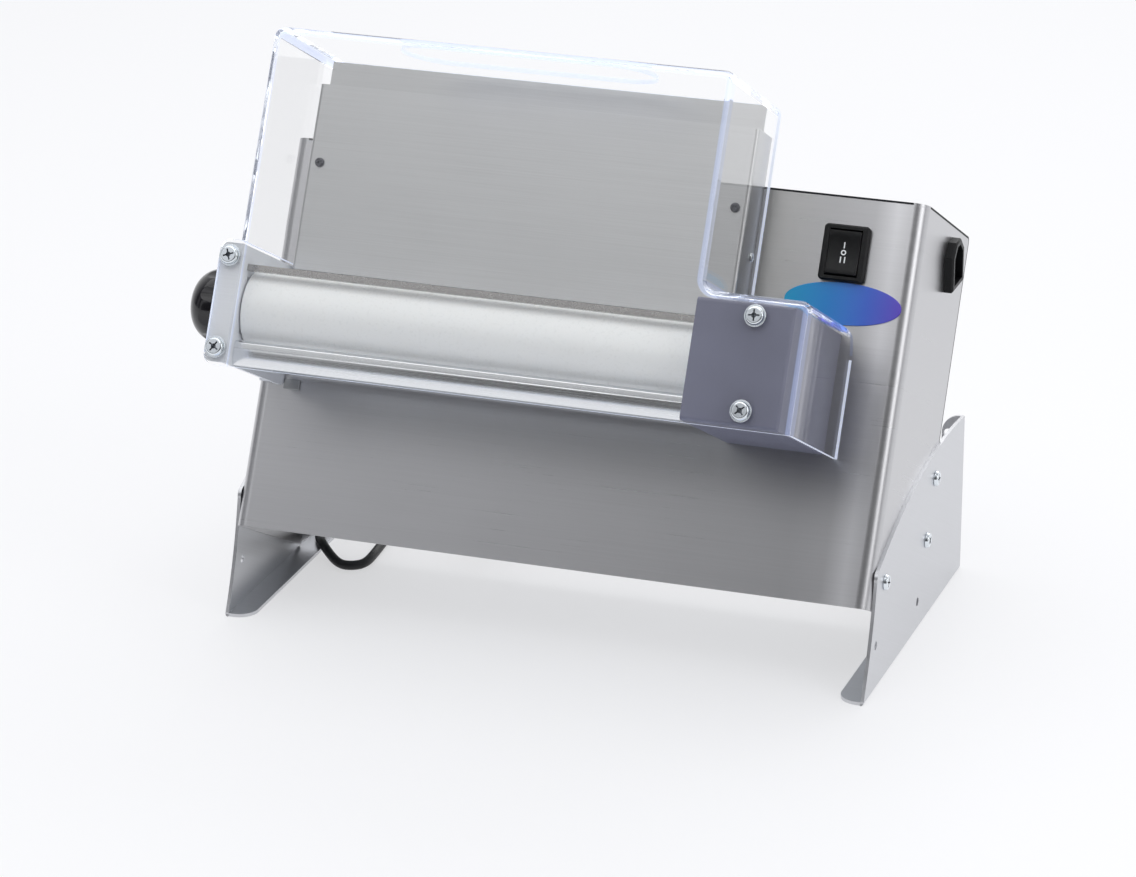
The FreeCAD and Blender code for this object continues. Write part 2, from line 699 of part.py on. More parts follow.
def foot(side):
    """Bent foot plate: side plate with curved edges, bottom flange and rear flange with its hole."""
    toe_top = V(0, FOOT_SHOULDER_Y - 1.0, FOOT_SHOULDER_Z - FOOT_CORNER)
    corner_end = V(0, FOOT_SHOULDER_Y + FOOT_CORNER, FOOT_SHOULDER_Z + FOOT_CORNER / 2)
    hollow = V(0, FOOT_HOLLOW_Y, FOOT_SHOULDER_Z / 2 - FOOT_HOLLOW_DROP)
    edges = [
        Part.LineSegment(V(0, FOOT_REAR_Y, 0), V(0, FOOT_FRONT_Y, 0)).toShape(),
        Part.Arc(V(0, FOOT_FRONT_Y, 0), hollow, toe_top).toShape(),
        Part.Arc(toe_top, V(0, FOOT_SHOULDER_Y + 1.2, FOOT_SHOULDER_Z + 0.5), corner_end).toShape(),
        Part.Arc(corner_end, V(0, FOOT_CREST_Y, FOOT_CREST_Z),
                 V(0, FOOT_REAR_Y, FOOT_REAR_Z)).toShape(),
        Part.LineSegment(V(0, FOOT_REAR_Y, FOOT_REAR_Z), V(0, FOOT_REAR_Y, 0)).toShape(),
    ]
    plate = Part.Face(Part.Wire(edges)).extrude(V(FOOT_SHEET, 0, 0))
    plate.translate(V(HALF_WIDTH, 0, 0))
    inner = FOOT_FACE - FOOT_FLANGE
    bottom = prism("top", [
        (FOOT_FACE, FOOT_FRONT_Y + 1.0), (inner, FOOT_FRONT_Y + 1.0, FOOT_TOE),
        (inner, FOOT_REAR_Y), (FOOT_FACE, FOOT_REAR_Y)], 0, FOOT_SHEET)
    back = prism("front", [
        (FOOT_FACE, 0), (FOOT_FACE - REAR_FLANGE, 0),
        (FOOT_FACE - REAR_FLANGE, FOOT_REAR_Z, FOOT_TOE), (FOOT_FACE, FOOT_REAR_Z)],
        FOOT_REAR_Y - FOOT_SHEET, FOOT_REAR_Y)
    whole = fuse([plate, bottom, back])
    whole = whole.cut(peg(FOOT_FACE - REAR_HOLE_INSET, REAR_HOLE_Z, FOOT_REAR_Y - FOOT_SHEET - 1,
                          FOOT_REAR_Y + 1, REAR_HOLE_R))
    bend = min(FOOT_BEND, FOOT_SHEET * 0.96)
    whole = whole.makeFillet(bend, foot_bend_edges(whole))
    used, spare = foot_hole_places()
    holes = [lean(rod(HALF_WIDTH - 1, FOOT_FACE + 1, v, w, FOOT_HOLE_R)) for v, w in used + spare]
    whole = whole.cut(holes)
    if side < 0:
        whole = whole.mirror(V(0, 0, 0), V(1, 0, 0))
    return whole


def foot_bend_edges(shape):
    """The two straight outer edges where the foot's flanges are bent from its plate."""
    chosen = []
    for edge in shape.Edges:
        box = edge.BoundBox
        if abs(box.XMin - FOOT_FACE) > 0.01 or abs(box.XMax - FOOT_FACE) > 0.01:
            continue
        along_bottom = box.ZMax < 0.01 and box.YLength > FOOT_REAR_Y / 2
        along_rear = box.YMin > FOOT_REAR_Y - 0.01 and box.ZLength > FOOT_REAR_Z / 2
        if along_bottom or along_rear:
            chosen.append(edge)
    return chosen


def foot_screws():
    """Pan head screws through the foot plates."""
    one = screw(FOOT_SCREW_HEAD_R, FOOT_SCREW_HEAD, FOOT_SCREW_R, FOOT_SHEET + RIVET_NUT_LENGTH)
    used, _ = foot_hole_places()
    return group([aim(one, V(side * FOOT_FACE, v, w), V(side, 0, 0))
                  for side in (-1, 1) for v, w in used])


def foot_nuts():
    """Rivet nuts in the side walls, one behind each foot screw."""
    used, _ = foot_hole_places()
    nuts = []
    for side in (-1, 1):
        near, far = sorted((side * (HALF_WIDTH - RIVET_NUT_LENGTH), side * HALF_WIDTH))
        nuts += [ring(near, far, v, w, RIVET_NUT_R, FOOT_SCREW_R) for v, w in used]
    return group(nuts)


# End plates and what ties them

def block_window(x0, x1):
    """Window in a plate in which the neck of a bearing block slides."""
    half_v = BLOCK_NECK_HALF_V + GAP_TRAVEL + FACE_GAP
    half_w = BLOCK_NECK_HALF_W + SLIDE_GAP
    return block(x0 - 1, x1 + 1, FRONT_AXIS_V - half_v, FRONT_AXIS_V + half_v,
                 AXIS_W - half_w, AXIS_W + half_w)


def cap_spacer_places():
    """Centres (v, w) of the spacers round a bearing block."""
    reach_v = CAP_HALF_V - CAP_SPACER_R - CAP_SPACER_INSET
    reach_w = CAP_HALF_W - CAP_SPACER_R - CAP_SPACER_INSET
    return [(FRONT_AXIS_V + a * reach_v, AXIS_W + b * reach_w) for a in (-1, 1) for b in (-1, 1)]


def panel_tabs(near, far):
    """Two tabs that lie on the front panel, between two x values, with their screw holes."""
    tabs = []
    for x, w in panel_screw_places():
        if near < x < far:
            tab = block(near, far, -PLATE, 0, w - TAB_TALL / 2, w + TAB_TALL / 2)
            tabs.append(tab.cut(peg(x, w, -PLATE - 1, 1, TAB_SCREW_R)))
    return tabs


def bar_screw_holes(x0, x1):
    """Holes through a plate for the shouldered ends of the guard bar and the scraper."""
    radius = BAR_HEIGHT / 2 - BAR_SHOULDER
    return [rod(x0 - 1, x1 + 1, BAR_V + BAR_DEPTH / 2, BAR_W + BAR_HEIGHT / 2, radius)]


def left_end_plate():
    """Left end plate with a front flange for the clear cover and tabs on the front panel."""
    notch = PLATE_BOTTOM + TAB_TALL + PLATE_NOTCH_OVER
    plate = prism("side", [
        (PLATE_FRONT_V, PLATE_BOTTOM), (PLATE_FRONT_V, PLATE_TOP), (0, PLATE_TOP), (0, notch),
        (PLATE_NOTCH_V, notch - PLATE_NOTCH_STEP, PLATE_CORNER),
        (PLATE_NOTCH_V, PLATE_BOTTOM, PLATE_CORNER)], LEFT_PLATE_OUT, LEFT_PLATE_X)
    flange = prism("front", [
        (LEFT_FLANGE_X, PLATE_BOTTOM, PLATE_CORNER), (LEFT_PLATE_X, PLATE_BOTTOM),
        (LEFT_PLATE_X, PLATE_TOP), (LEFT_FLANGE_X, PLATE_TOP, PLATE_CORNER)],
        PLATE_FRONT_V, PLATE_FRONT_V + FLANGE)
    upper_tab = panel_tabs(LEFT_PLATE_OUT - TAB_REACH, LEFT_PLATE_OUT)[1]
    lower_tab = panel_tabs(LEFT_PLATE_OUT - TAB_REACH, LEFT_PLATE_OUT)[0]
    foot_piece = block(LEFT_PLATE_OUT - TAB_REACH, LEFT_PLATE_X, -PLATE, 0,
                       notch - PLATE_STRAP, notch + PLATE_NOTCH_OVER)
    whole = fuse([plate, flange, upper_tab, lower_tab, foot_piece])
    cuts = [block_window(LEFT_PLATE_OUT, LEFT_PLATE_X)]
    cuts.append(rod(LEFT_PLATE_OUT - 1, LEFT_PLATE_X + 1, REAR_AXIS_V, AXIS_W,
                    REAR_SHAFT_R + REAR_BUSH_WALL))
    cuts += bar_screw_holes(LEFT_PLATE_OUT, LEFT_PLATE_X)
    for x, w in COVER_SCREWS:
        cuts.append(peg(x, w, PLATE_FRONT_V - 1, PLATE_FRONT_V + FLANGE + 1, COVER_SCREW_R))
    return whole.cut(cuts)


def right_end_plate():
    """Right end plate: a slot for the front roller's shaft, a bearing hole, tabs on the panel."""
    x0 = RIGHT_PLATE_X
    x1 = RIGHT_PLATE_X + PLATE
    bottom = GEAR_COVER_BOTTOM + GEAR_COVER_SHEET
    top = GEAR_COVER_TOP - GEAR_COVER_SHEET
    front = PLATE_FRONT_V + GEAR_COVER_SHEET
    plate = prism("side", [
        (front, bottom, PLATE_CORNER), (front, top, PLATE_CORNER), (0, top), (0, bottom)], x0, x1)
    whole = fuse([plate] + panel_tabs(x1, x1 + TAB_REACH))
    slot_half = FRONT_SHAFT_R + BORE_SPACE
    cuts = [
        rod(x0 - 1, x1 + 1, FRONT_AXIS_V - GAP_TRAVEL, AXIS_W, slot_half),
        rod(x0 - 1, x1 + 1, FRONT_AXIS_V + GAP_TRAVEL, AXIS_W, slot_half),
        block(x0 - 1, x1 + 1, FRONT_AXIS_V - GAP_TRAVEL, FRONT_AXIS_V + GAP_TRAVEL,
              AXIS_W - slot_half, AXIS_W + slot_half),
        rod(x0 - 1, x1 + 1, REAR_AXIS_V, AXIS_W, REAR_SHAFT_R + REAR_BUSH_WALL),
    ]
    return whole.cut(cuts + bar_screw_holes(x0, x1))


def outboard_plate():
    """Plate outside the gears: it guides the right block and has the flange for the cover screws."""
    x0 = OUTBOARD_X
    x1 = OUTBOARD_X + PLATE
    bottom = GEAR_COVER_BOTTOM + GEAR_COVER_SHEET
    top = GEAR_COVER_TOP - GEAR_COVER_SHEET
    front = PLATE_FRONT_V + GEAR_COVER_SHEET
    plate = prism("side", [(front, bottom), (front, top), (0, top), (0, bottom)], x0, x1)
    flange = block(x0, x0 + OUTBOARD_FLANGE, front, front + FLANGE, bottom, top)
    cuts = [
        block_window(x0, x1),
        rod(x0 - 1, x1 + 1, REAR_AXIS_V, AXIS_W, REAR_SHAFT_R + REAR_BUSH_WALL),
    ]
    for x, w in COVER_SCREWS:
        cuts.append(peg(x, w, front - 1, front + FLANGE + 1, COVER_SCREW_R))
    return fuse([plate, flange]).cut(cuts)


def pillar_places():
    """Centres (v, w) of the pillars between the right end plate and the outboard plate."""
    low = GEAR_COVER_BOTTOM + GEAR_COVER_SHEET + PILLAR_INSET
    high = GEAR_COVER_TOP - GEAR_COVER_SHEET - PILLAR_INSET
    return [(v, w) for v in PILLAR_V for w in (low, high)]


def plate_pillars():
    """Pillars that hold the outboard plate square to the right end plate."""
    start = RIGHT_PLATE_X + PLATE
    return group([rod(start, OUTBOARD_X, v, w, PILLAR_R) for v, w in pillar_places()])


def panel_screws():
    """Screws through the end plates' tabs, and the one through the capacitor's clip."""
    one = screw(TAB_NUT_R, TAB_SCREW_R, TAB_SCREW_R, PLATE + BODY_SHEET + TAB_NUT + 1)
    screws = [aim(one, V(x, -PLATE, w), V(0, -1, 0)) for x, w in panel_screw_places()]
    clip = screw(CLIP_SCREW_HEAD_R, CLIP_SCREW_HEAD, CLIP_SCREW_R,
                 BODY_SHEET + CLIP_SHEET + CLIP_SCREW_REACH)
    clip_x, clip_w = clip_screw_place()
    return group(screws + [aim(clip, V(clip_x, 0, clip_w), V(0, -1, 0))])


def panel_nuts():
    """Hexagon nuts on the panel screws, inside the body."""
    nuts = []
    for x, w in panel_screw_places():
        hexagon = [(x + TAB_NUT_R * math.sin(math.radians(60 * k)),
                    w + TAB_NUT_R * math.cos(math.radians(60 * k))) for k in range(6)]
        nut = prism("front", hexagon, BODY_SHEET, BODY_SHEET + TAB_NUT)
        nuts.append(nut.cut(peg(x, w, 0, BODY_SHEET + TAB_NUT + 1, TAB_SCREW_R)))
    return group(nuts)


def guard_bar():
    """Flat bar across the front above the front roller, with round ends in the end plates."""
    bar = block(LEFT_PLATE_X, RIGHT_PLATE_X, BAR_V, BAR_V + BAR_DEPTH, BAR_W, BAR_W + BAR_HEIGHT)
    spigot = rod(LEFT_PLATE_OUT, RIGHT_PLATE_X + PLATE, BAR_V + BAR_DEPTH / 2,
                 BAR_W + BAR_HEIGHT / 2, BAR_HEIGHT / 2 - BAR_SHOULDER)
    return fuse([bar, spigot])


def scraper_bar():
    """Bar with a sloping blade under the front roller, between the end plates."""
    blade_v = SCRAPER_V + SCRAPER_REACH
    return prism("side", [
        (SCRAPER_V, SCRAPER_W), (SCRAPER_V, SCRAPER_TOP - SCRAPER_NOSE, SCRAPER_ROUND),
        (SCRAPER_V + SCRAPER_SLOPE, SCRAPER_TOP, SCRAPER_ROUND), (blade_v, SCRAPER_TOP),
        (blade_v, SCRAPER_TOP - SCRAPER_EDGE), (SCRAPER_V + SCRAPER_WEB, SCRAPER_W)],
        LEFT_PLATE_X, RIGHT_PLATE_X)


def discharge_slide():
    """Polished sheet under the rear roller, flanged to the panel, that keeps the dough in front."""
    low = AXIS_W - SLIDE_UNDER
    bend = low + SLIDE_RISE
    top = bend + SLIDE_FLANGE
    return prism("side", [
        (SLIDE_FRONT_V, low), (0, bend, SLIDE_BEND + SLIDE_SHEET), (0, top), (-SLIDE_SHEET, top),
        (-SLIDE_SHEET, bend + SLIDE_SHEET, SLIDE_BEND), (SLIDE_FRONT_V, low + SLIDE_SHEET)],
        LEFT_PLATE_X, RIGHT_PLATE_X)


def flour_pan():
    """Shallow pan behind the roller window that keeps flour out of the body."""
    rim_left = WINDOW_LEFT_X - PAN_END_RIM
    rim_right = WINDOW_RIGHT_X + PAN_END_RIM
    bottom = WINDOW_BOTTOM - PAN_RIM
    top = WINDOW_TOP + PAN_RIM
    near = BODY_SHEET
    rim = block(rim_left, rim_right, near, near + BODY_SHEET, bottom, top)
    well = prism("front", window_corners(0.0), near, near + PAN_DEPTH)
    hollow = prism("front", window_corners(BODY_SHEET), near - 1, near + PAN_DEPTH - BODY_SHEET)
    return fuse([rim, well]).cut(hollow)


def window_corners(inset):
    """Corners (x, w) of the roller window, drawn in by an inset."""
    corner = PLATE_CORNER - inset
    return [
        (WINDOW_LEFT_X + inset, WINDOW_BOTTOM + inset, corner),
        (WINDOW_RIGHT_X - inset, WINDOW_BOTTOM + inset, corner),
        (WINDOW_RIGHT_X - inset, WINDOW_TOP - inset, corner),
        (WINDOW_LEFT_X + inset, WINDOW_TOP - inset, corner),
    ]


# Adjustment of the roller gap

def bearing_block(inner_x, plate_x, outer_x):
    """Sliding block: neck in the plate's window, body outside it, bush bore and yoke slot."""
    mirror = 1 if outer_x > inner_x else -1
    body_x = plate_x + mirror * FACE_GAP

    def slab(x0, x1, half_v, half_w):
        near, far = sorted((x0, x1))
        return block(near, far, FRONT_AXIS_V - half_v, FRONT_AXIS_V + half_v,
                     AXIS_W - half_w, AXIS_W + half_w)

    neck = slab(inner_x, body_x, BLOCK_NECK_HALF_V, BLOCK_NECK_HALF_W)
    body = slab(body_x, outer_x, BLOCK_HALF_V, BLOCK_HALF_W)
    pocket_x = outer_x - mirror * ECCENTRIC_POCKET
    near, far = sorted((inner_x - mirror, pocket_x))
    bush_bore = rod(near, far, FRONT_AXIS_V, AXIS_W, BUSH_R)
    slot_r = ECCENTRIC_R + ECCENTRIC_SIDE_GAP
    low = AXIS_W + ECCENTRIC * math.cos(math.radians(KNOB_TURN)) - FACE_GAP
    high = AXIS_W + ECCENTRIC + FACE_GAP
    near, far = sorted((pocket_x, outer_x + mirror))
    slot = fuse([rod(near, far, FRONT_AXIS_V, low, slot_r), rod(near, far, FRONT_AXIS_V, high, slot_r),
                 block(near, far, FRONT_AXIS_V - slot_r, FRONT_AXIS_V + slot_r, low, high)])
    return fuse([neck, body]).cut([bush_bore, slot])


def left_bearing_block():
    """Block that carries the left end of the front roller."""
    return bearing_block(LEFT_PLATE_X, LEFT_PLATE_OUT, LEFT_BLOCK_OUT)


def right_bearing_block():
    """Block that carries the right end of the front roller, outside the gears."""
    return bearing_block(OUTBOARD_X, OUTBOARD_X + PLATE, RIGHT_BLOCK_OUT)


def front_bushes():
    """Bronze bushes pressed into the two sliding blocks."""
    bore = FRONT_SHAFT_R + RUN_GAP
    left = ring(LEFT_BLOCK_OUT + ECCENTRIC_POCKET, LEFT_PLATE_X, FRONT_AXIS_V, AXIS_W, BUSH_R, bore)
    right = ring(OUTBOARD_X, RIGHT_BLOCK_OUT - ECCENTRIC_POCKET, FRONT_AXIS_V, AXIS_W, BUSH_R, bore)
    return group([left, right])


def cap_plate(x0, x1):
    """Plate outside a bearing block with the hole in which the adjusting shaft turns."""
    plate = prism("side", [
        (FRONT_AXIS_V - CAP_HALF_V, AXIS_W - CAP_HALF_W, PLATE_CORNER),
        (FRONT_AXIS_V + CAP_HALF_V, AXIS_W - CAP_HALF_W, PLATE_CORNER),
        (FRONT_AXIS_V + CAP_HALF_V, AXIS_W + CAP_HALF_W, PLATE_CORNER),
        (FRONT_AXIS_V - CAP_HALF_V, AXIS_W + CAP_HALF_W, PLATE_CORNER)], x0, x1)
    return plate.cut(rod(x0 - 1, x1 + 1, FRONT_AXIS_V, AXIS_W, ADJUST_SHAFT_R + RUN_GAP))


def left_cap_plate():
    """Cap plate behind the knob."""
    return cap_plate(LEFT_CAP_X, LEFT_CAP_X + CAP_PLATE)


def right_cap_plate():
    """Cap plate inside the gear cover."""
    return cap_plate(RIGHT_CAP_X, RIGHT_CAP_X + CAP_PLATE)


def cap_spacers():
    """Spacers that hold the cap plates off the plates in which the blocks slide."""
    spacers = []
    for v, w in cap_spacer_places():
        spacers.append(rod(LEFT_CAP_X + CAP_PLATE, LEFT_PLATE_OUT, v, w, CAP_SPACER_R))
        spacers.append(rod(OUTBOARD_X + PLATE, RIGHT_CAP_X, v, w, CAP_SPACER_R))
    return group(spacers)


def adjusting_shaft():
    """Thin shaft through the front roller with an eccentric in each sliding block."""
    knob_seat = LEFT_CAP_X - KNOB_GAP - KNOB_LENGTH / 2
    end = RIGHT_CAP_X + CAP_PLATE + ADJUST_SHAFT_TAIL
    spindle = rod(knob_seat, end, FRONT_AXIS_V, AXIS_W, ADJUST_SHAFT_R)
    side_play = (ECCENTRIC_POCKET - ECCENTRIC_LENGTH) / 2
    left = LEFT_BLOCK_OUT + side_play
    right = RIGHT_BLOCK_OUT - side_play - ECCENTRIC_LENGTH
    discs = [rod(x, x + ECCENTRIC_LENGTH, FRONT_AXIS_V, AXIS_W + ECCENTRIC, ECCENTRIC_R)
             for x in (left, right)]
    return fuse([spindle] + discs)


def adjusting_knob():
    """Domed knob with wide shallow flutes, on the end of the adjusting shaft."""
    base = LEFT_CAP_X - KNOB_GAP
    chamfer = KNOB_FLUTE_DEPTH / 2
    shoulder = V(KNOB_R, 0, KNOB_SKIRT)
    crown = V(KNOB_CROWN_R, 0, KNOB_LENGTH)
    bulge = V(shoulder.x - crown.x, 0, 0) * math.cos(math.pi / 4)
    rise = V(0, 0, KNOB_LENGTH - KNOB_SKIRT) * math.sin(math.pi / 4)
    middle = V(KNOB_CROWN_R, 0, KNOB_SKIRT) + bulge + rise
    profile = Part.Wire([
        Part.LineSegment(V(0, 0, 0), V(KNOB_R - chamfer, 0, 0)).toShape(),
        Part.LineSegment(V(KNOB_R - chamfer, 0, 0), V(KNOB_R, 0, chamfer)).toShape(),
        Part.LineSegment(V(KNOB_R, 0, chamfer), shoulder).toShape(),
        Part.Arc(shoulder, middle, crown).toShape(),
        Part.LineSegment(crown, V(0, 0, KNOB_LENGTH)).toShape(),
        Part.LineSegment(V(0, 0, KNOB_LENGTH), V(0, 0, 0)).toShape(),
    ])
    knob = Part.Face(profile).revolve(V(0, 0, 0), V(0, 0, 1), 360)
    flutes = []
    reach = KNOB_R + KNOB_FLUTE_R - KNOB_FLUTE_DEPTH
    for index in range(KNOB_FLUTES):
        angle = math.radians(360.0 * index / KNOB_FLUTES)
        centre = V(reach * math.cos(angle), reach * math.sin(angle), KNOB_RIM)
        flutes.append(Part.makeCylinder(KNOB_FLUTE_R, KNOB_LENGTH, centre))
    knob = knob.cut(flutes)
    knob = knob.cut(Part.makeCylinder(ADJUST_SHAFT_R, KNOB_LENGTH / 2))
    return aim(knob, V(base, FRONT_AXIS_V, AXIS_W), V(-1, 0, 0))


# Rollers and gears

def roller(axis_v, bore):
    """Roller with small rounded rims."""
    body = rod(ROLLER_LEFT_X, ROLLER_RIGHT_X, axis_v, AXIS_W, ROLLER_DIA / 2)
    rims = [edge for edge in body.Edges if edge.Curve.TypeId == "Part::GeomCircle"]
    body = body.makeFillet(ROLLER_EDGE, rims)
    return body.cut(rod(ROLLER_LEFT_X - 1, ROLLER_RIGHT_X + 1, axis_v, AXIS_W, bore))


def front_roller():
    """Roller that moves to set the gap."""
    return roller(FRONT_AXIS_V, FRONT_SHAFT_R)


def rear_roller():
    """Roller that turns in fixed bearings."""
    return roller(REAR_AXIS_V, REAR_SHAFT_R)


def front_roller_shaft():
    """Hollow shaft of the front roller, from block to block."""
    left = LEFT_BLOCK_OUT + ECCENTRIC_POCKET + FRONT_SHAFT_END_GAP
    right = RIGHT_BLOCK_OUT - ECCENTRIC_POCKET - FRONT_SHAFT_END_GAP
    return ring(left, right, FRONT_AXIS_V, AXIS_W, FRONT_SHAFT_R, HOLLOW_BORE_R)


def rear_roller_shaft():
    """Solid shaft of the rear roller."""
    left = LEFT_PLATE_OUT - REAR_BUSH_FLANGE - REAR_SHAFT_TAIL
    right = OUTBOARD_X + PLATE + REAR_BUSH_FLANGE + REAR_SHAFT_TAIL
    shaft = rod(left, right, REAR_AXIS_V, AXIS_W, REAR_SHAFT_R)
    ends = [edge for edge in shaft.Edges if edge.Curve.TypeId == "Part::GeomCircle"]
    return shaft.makeChamfer(REAR_SHAFT_CHAMFER, ends)


def rear_bushes():
    """Flanged bronze bushes of the rear roller in the end plates and the outboard plate."""
    bore = REAR_SHAFT_R + RUN_GAP
    outer = REAR_SHAFT_R + REAR_BUSH_WALL
    left = ring(LEFT_PLATE_OUT - REAR_BUSH_FLANGE, LEFT_PLATE_X, REAR_AXIS_V, AXIS_W, outer, bore)
    left_flange = ring(LEFT_PLATE_OUT - REAR_BUSH_FLANGE, LEFT_PLATE_OUT, REAR_AXIS_V, AXIS_W,
                       REAR_BUSH_FLANGE_R, bore)
    middle = ring(RIGHT_PLATE_X, RIGHT_PLATE_X + PLATE, REAR_AXIS_V, AXIS_W, outer, bore)
    face = OUTBOARD_X + PLATE
    right = ring(OUTBOARD_X, face + REAR_BUSH_FLANGE, REAR_AXIS_V, AXIS_W, outer, bore)
    right_flange = ring(face, face + REAR_BUSH_FLANGE, REAR_AXIS_V, AXIS_W, REAR_BUSH_FLANGE_R, bore)
    return group([fuse([left, left_flange]), middle, fuse([right, right_flange])])


def involute(angle):
    """Involute function of an angle in radians."""
    return math.tan(angle) - angle


def gear_blank(axis_v, phase):
    """Spur gear with involute flanks, its first tooth at a phase angle from +v."""
    pitch_r = PITCH_DIA / 2
    base_r = pitch_r * math.cos(math.radians(PRESSURE_ANGLE))
    root_r = pitch_r - DEDENDUM * MODULE
    half_pitch_tooth = math.pi / (2 * TEETH) - TOOTH_THINNING / pitch_r
    at_pitch = half_pitch_tooth + involute(math.radians(PRESSURE_ANGLE))

    def spot(radius, angle):
        return V(GEAR_X, axis_v + radius * math.cos(angle), AXIS_W + radius * math.sin(angle))

    def half_tooth(radius):
        return at_pitch - involute(math.acos(min(1.0, base_r / radius)))

    edges = []
    middle_r = (base_r + TIP_R) / 2
    root_half = half_tooth(base_r)
    step = math.radians(GEAR_PITCH_ANGLE)
    for index in range(TEETH):
        centre = math.radians(phase) + index * step
        right = [spot(r, centre - half_tooth(r)) for r in (base_r, middle_r, TIP_R)]
        left = [spot(r, centre + half_tooth(r)) for r in (TIP_R, middle_r, base_r)]
        foot_right = spot(root_r, centre - root_half)
        foot_left = spot(root_r, centre + root_half)
        next_foot = spot(root_r, centre + step - root_half)
        edges += [
            Part.LineSegment(foot_right, right[0]).toShape(),
            Part.Arc(*right).toShape(),
            Part.Arc(right[2], spot(TIP_R, centre), left[0]).toShape(),
            Part.Arc(*left).toShape(),
            Part.LineSegment(left[2], foot_left).toShape(),
            Part.Arc(foot_left, spot(root_r, centre + step / 2), next_foot).toShape(),
        ]
    return Part.Face(Part.Wire(edges)).extrude(V(GEAR_WIDTH, 0, 0))


def gear(axis_v, phase, bore):
    """Gear with its hub and bore."""
    hub = rod(GEAR_X, GEAR_X + GEAR_WIDTH + HUB_LENGTH, axis_v, AXIS_W, HUB_R)
    whole = fuse([gear_blank(axis_v, phase), hub])
    return whole.cut(rod(GEAR_X - 1, GEAR_X + GEAR_WIDTH + HUB_LENGTH + 1, axis_v, AXIS_W, bore))


def front_roller_gear():
    """Gear on the front roller's shaft, a gap towards the rear gear."""
    return gear(FRONT_AXIS_V, GEAR_PITCH_ANGLE / 2, FRONT_SHAFT_R)


def rear_roller_gear():
    """Gear on the rear roller's shaft, a tooth towards each of its neighbours."""
    return gear(REAR_AXIS_V, 0.0, REAR_SHAFT_R)


def drive_gear():
    """Gear on the gearbox's output shaft, inside the body behind the panel."""
    return gear(DRIVE_AXIS_V, GEAR_PITCH_ANGLE / 2, OUTPUT_SHAFT_R)


# Covers in front

def gear_cover():
    """Folded box over the gears, open towards the body and the rollers."""
    outer = block(RIGHT_PLATE_X, GEAR_COVER_RIGHT_X, PLATE_FRONT_V, 0, GEAR_COVER_BOTTOM, GEAR_COVER_TOP)
    edges = [edge for edge in outer.Edges
             if edge.BoundBox.YMax < PLATE_FRONT_V + 0.01 and edge.BoundBox.XMax > GEAR_COVER_RIGHT_X - 0.01]
    outer = outer.makeFillet(2 * GEAR_COVER_SHEET, edges)
    sheet = GEAR_COVER_SHEET
    hollow = block(RIGHT_PLATE_X - 1, GEAR_COVER_RIGHT_X - sheet, PLATE_FRONT_V + sheet, 1,
                   GEAR_COVER_BOTTOM + sheet, GEAR_COVER_TOP - sheet)
    cuts = [hollow]
    for x, w in COVER_SCREWS:
        cuts.append(peg(x, w, PLATE_FRONT_V - 1, PLATE_FRONT_V + sheet + 1, COVER_SCREW_R))
    return outer.cut(cuts)


def cover_corners(inset):
    """Corners (x, w) of the clear cover's walls, drawn in by an inset."""
    corner = COVER_CORNER - inset
    bottom = COVER_BOTTOM - 2 * inset
    return [
        (COVER_LEFT_X + inset, bottom), (COVER_LEFT_X + inset, COVER_TOP - inset, corner),
        (COVER_RIGHT_X - inset, COVER_TOP - inset, corner),
        (COVER_RIGHT_X - inset, COVER_SHOULDER - inset, COVER_CORNER + inset),
        (COVER_WIDE_RIGHT_X - inset, COVER_SHOULDER - inset, corner),
        (COVER_WIDE_RIGHT_X - inset, bottom),
    ]


def front_edges(shape, v):
    """Edges of a cover's front face at a depth, without the open bottom edge."""
    chosen = []
    for edge in shape.Edges:
        box = edge.BoundBox
        if abs(box.YMin - v) < 0.01 and abs(box.YMax - v) < 0.01 and box.ZMax > COVER_BOTTOM + 1:
            chosen.append(edge)
    return chosen


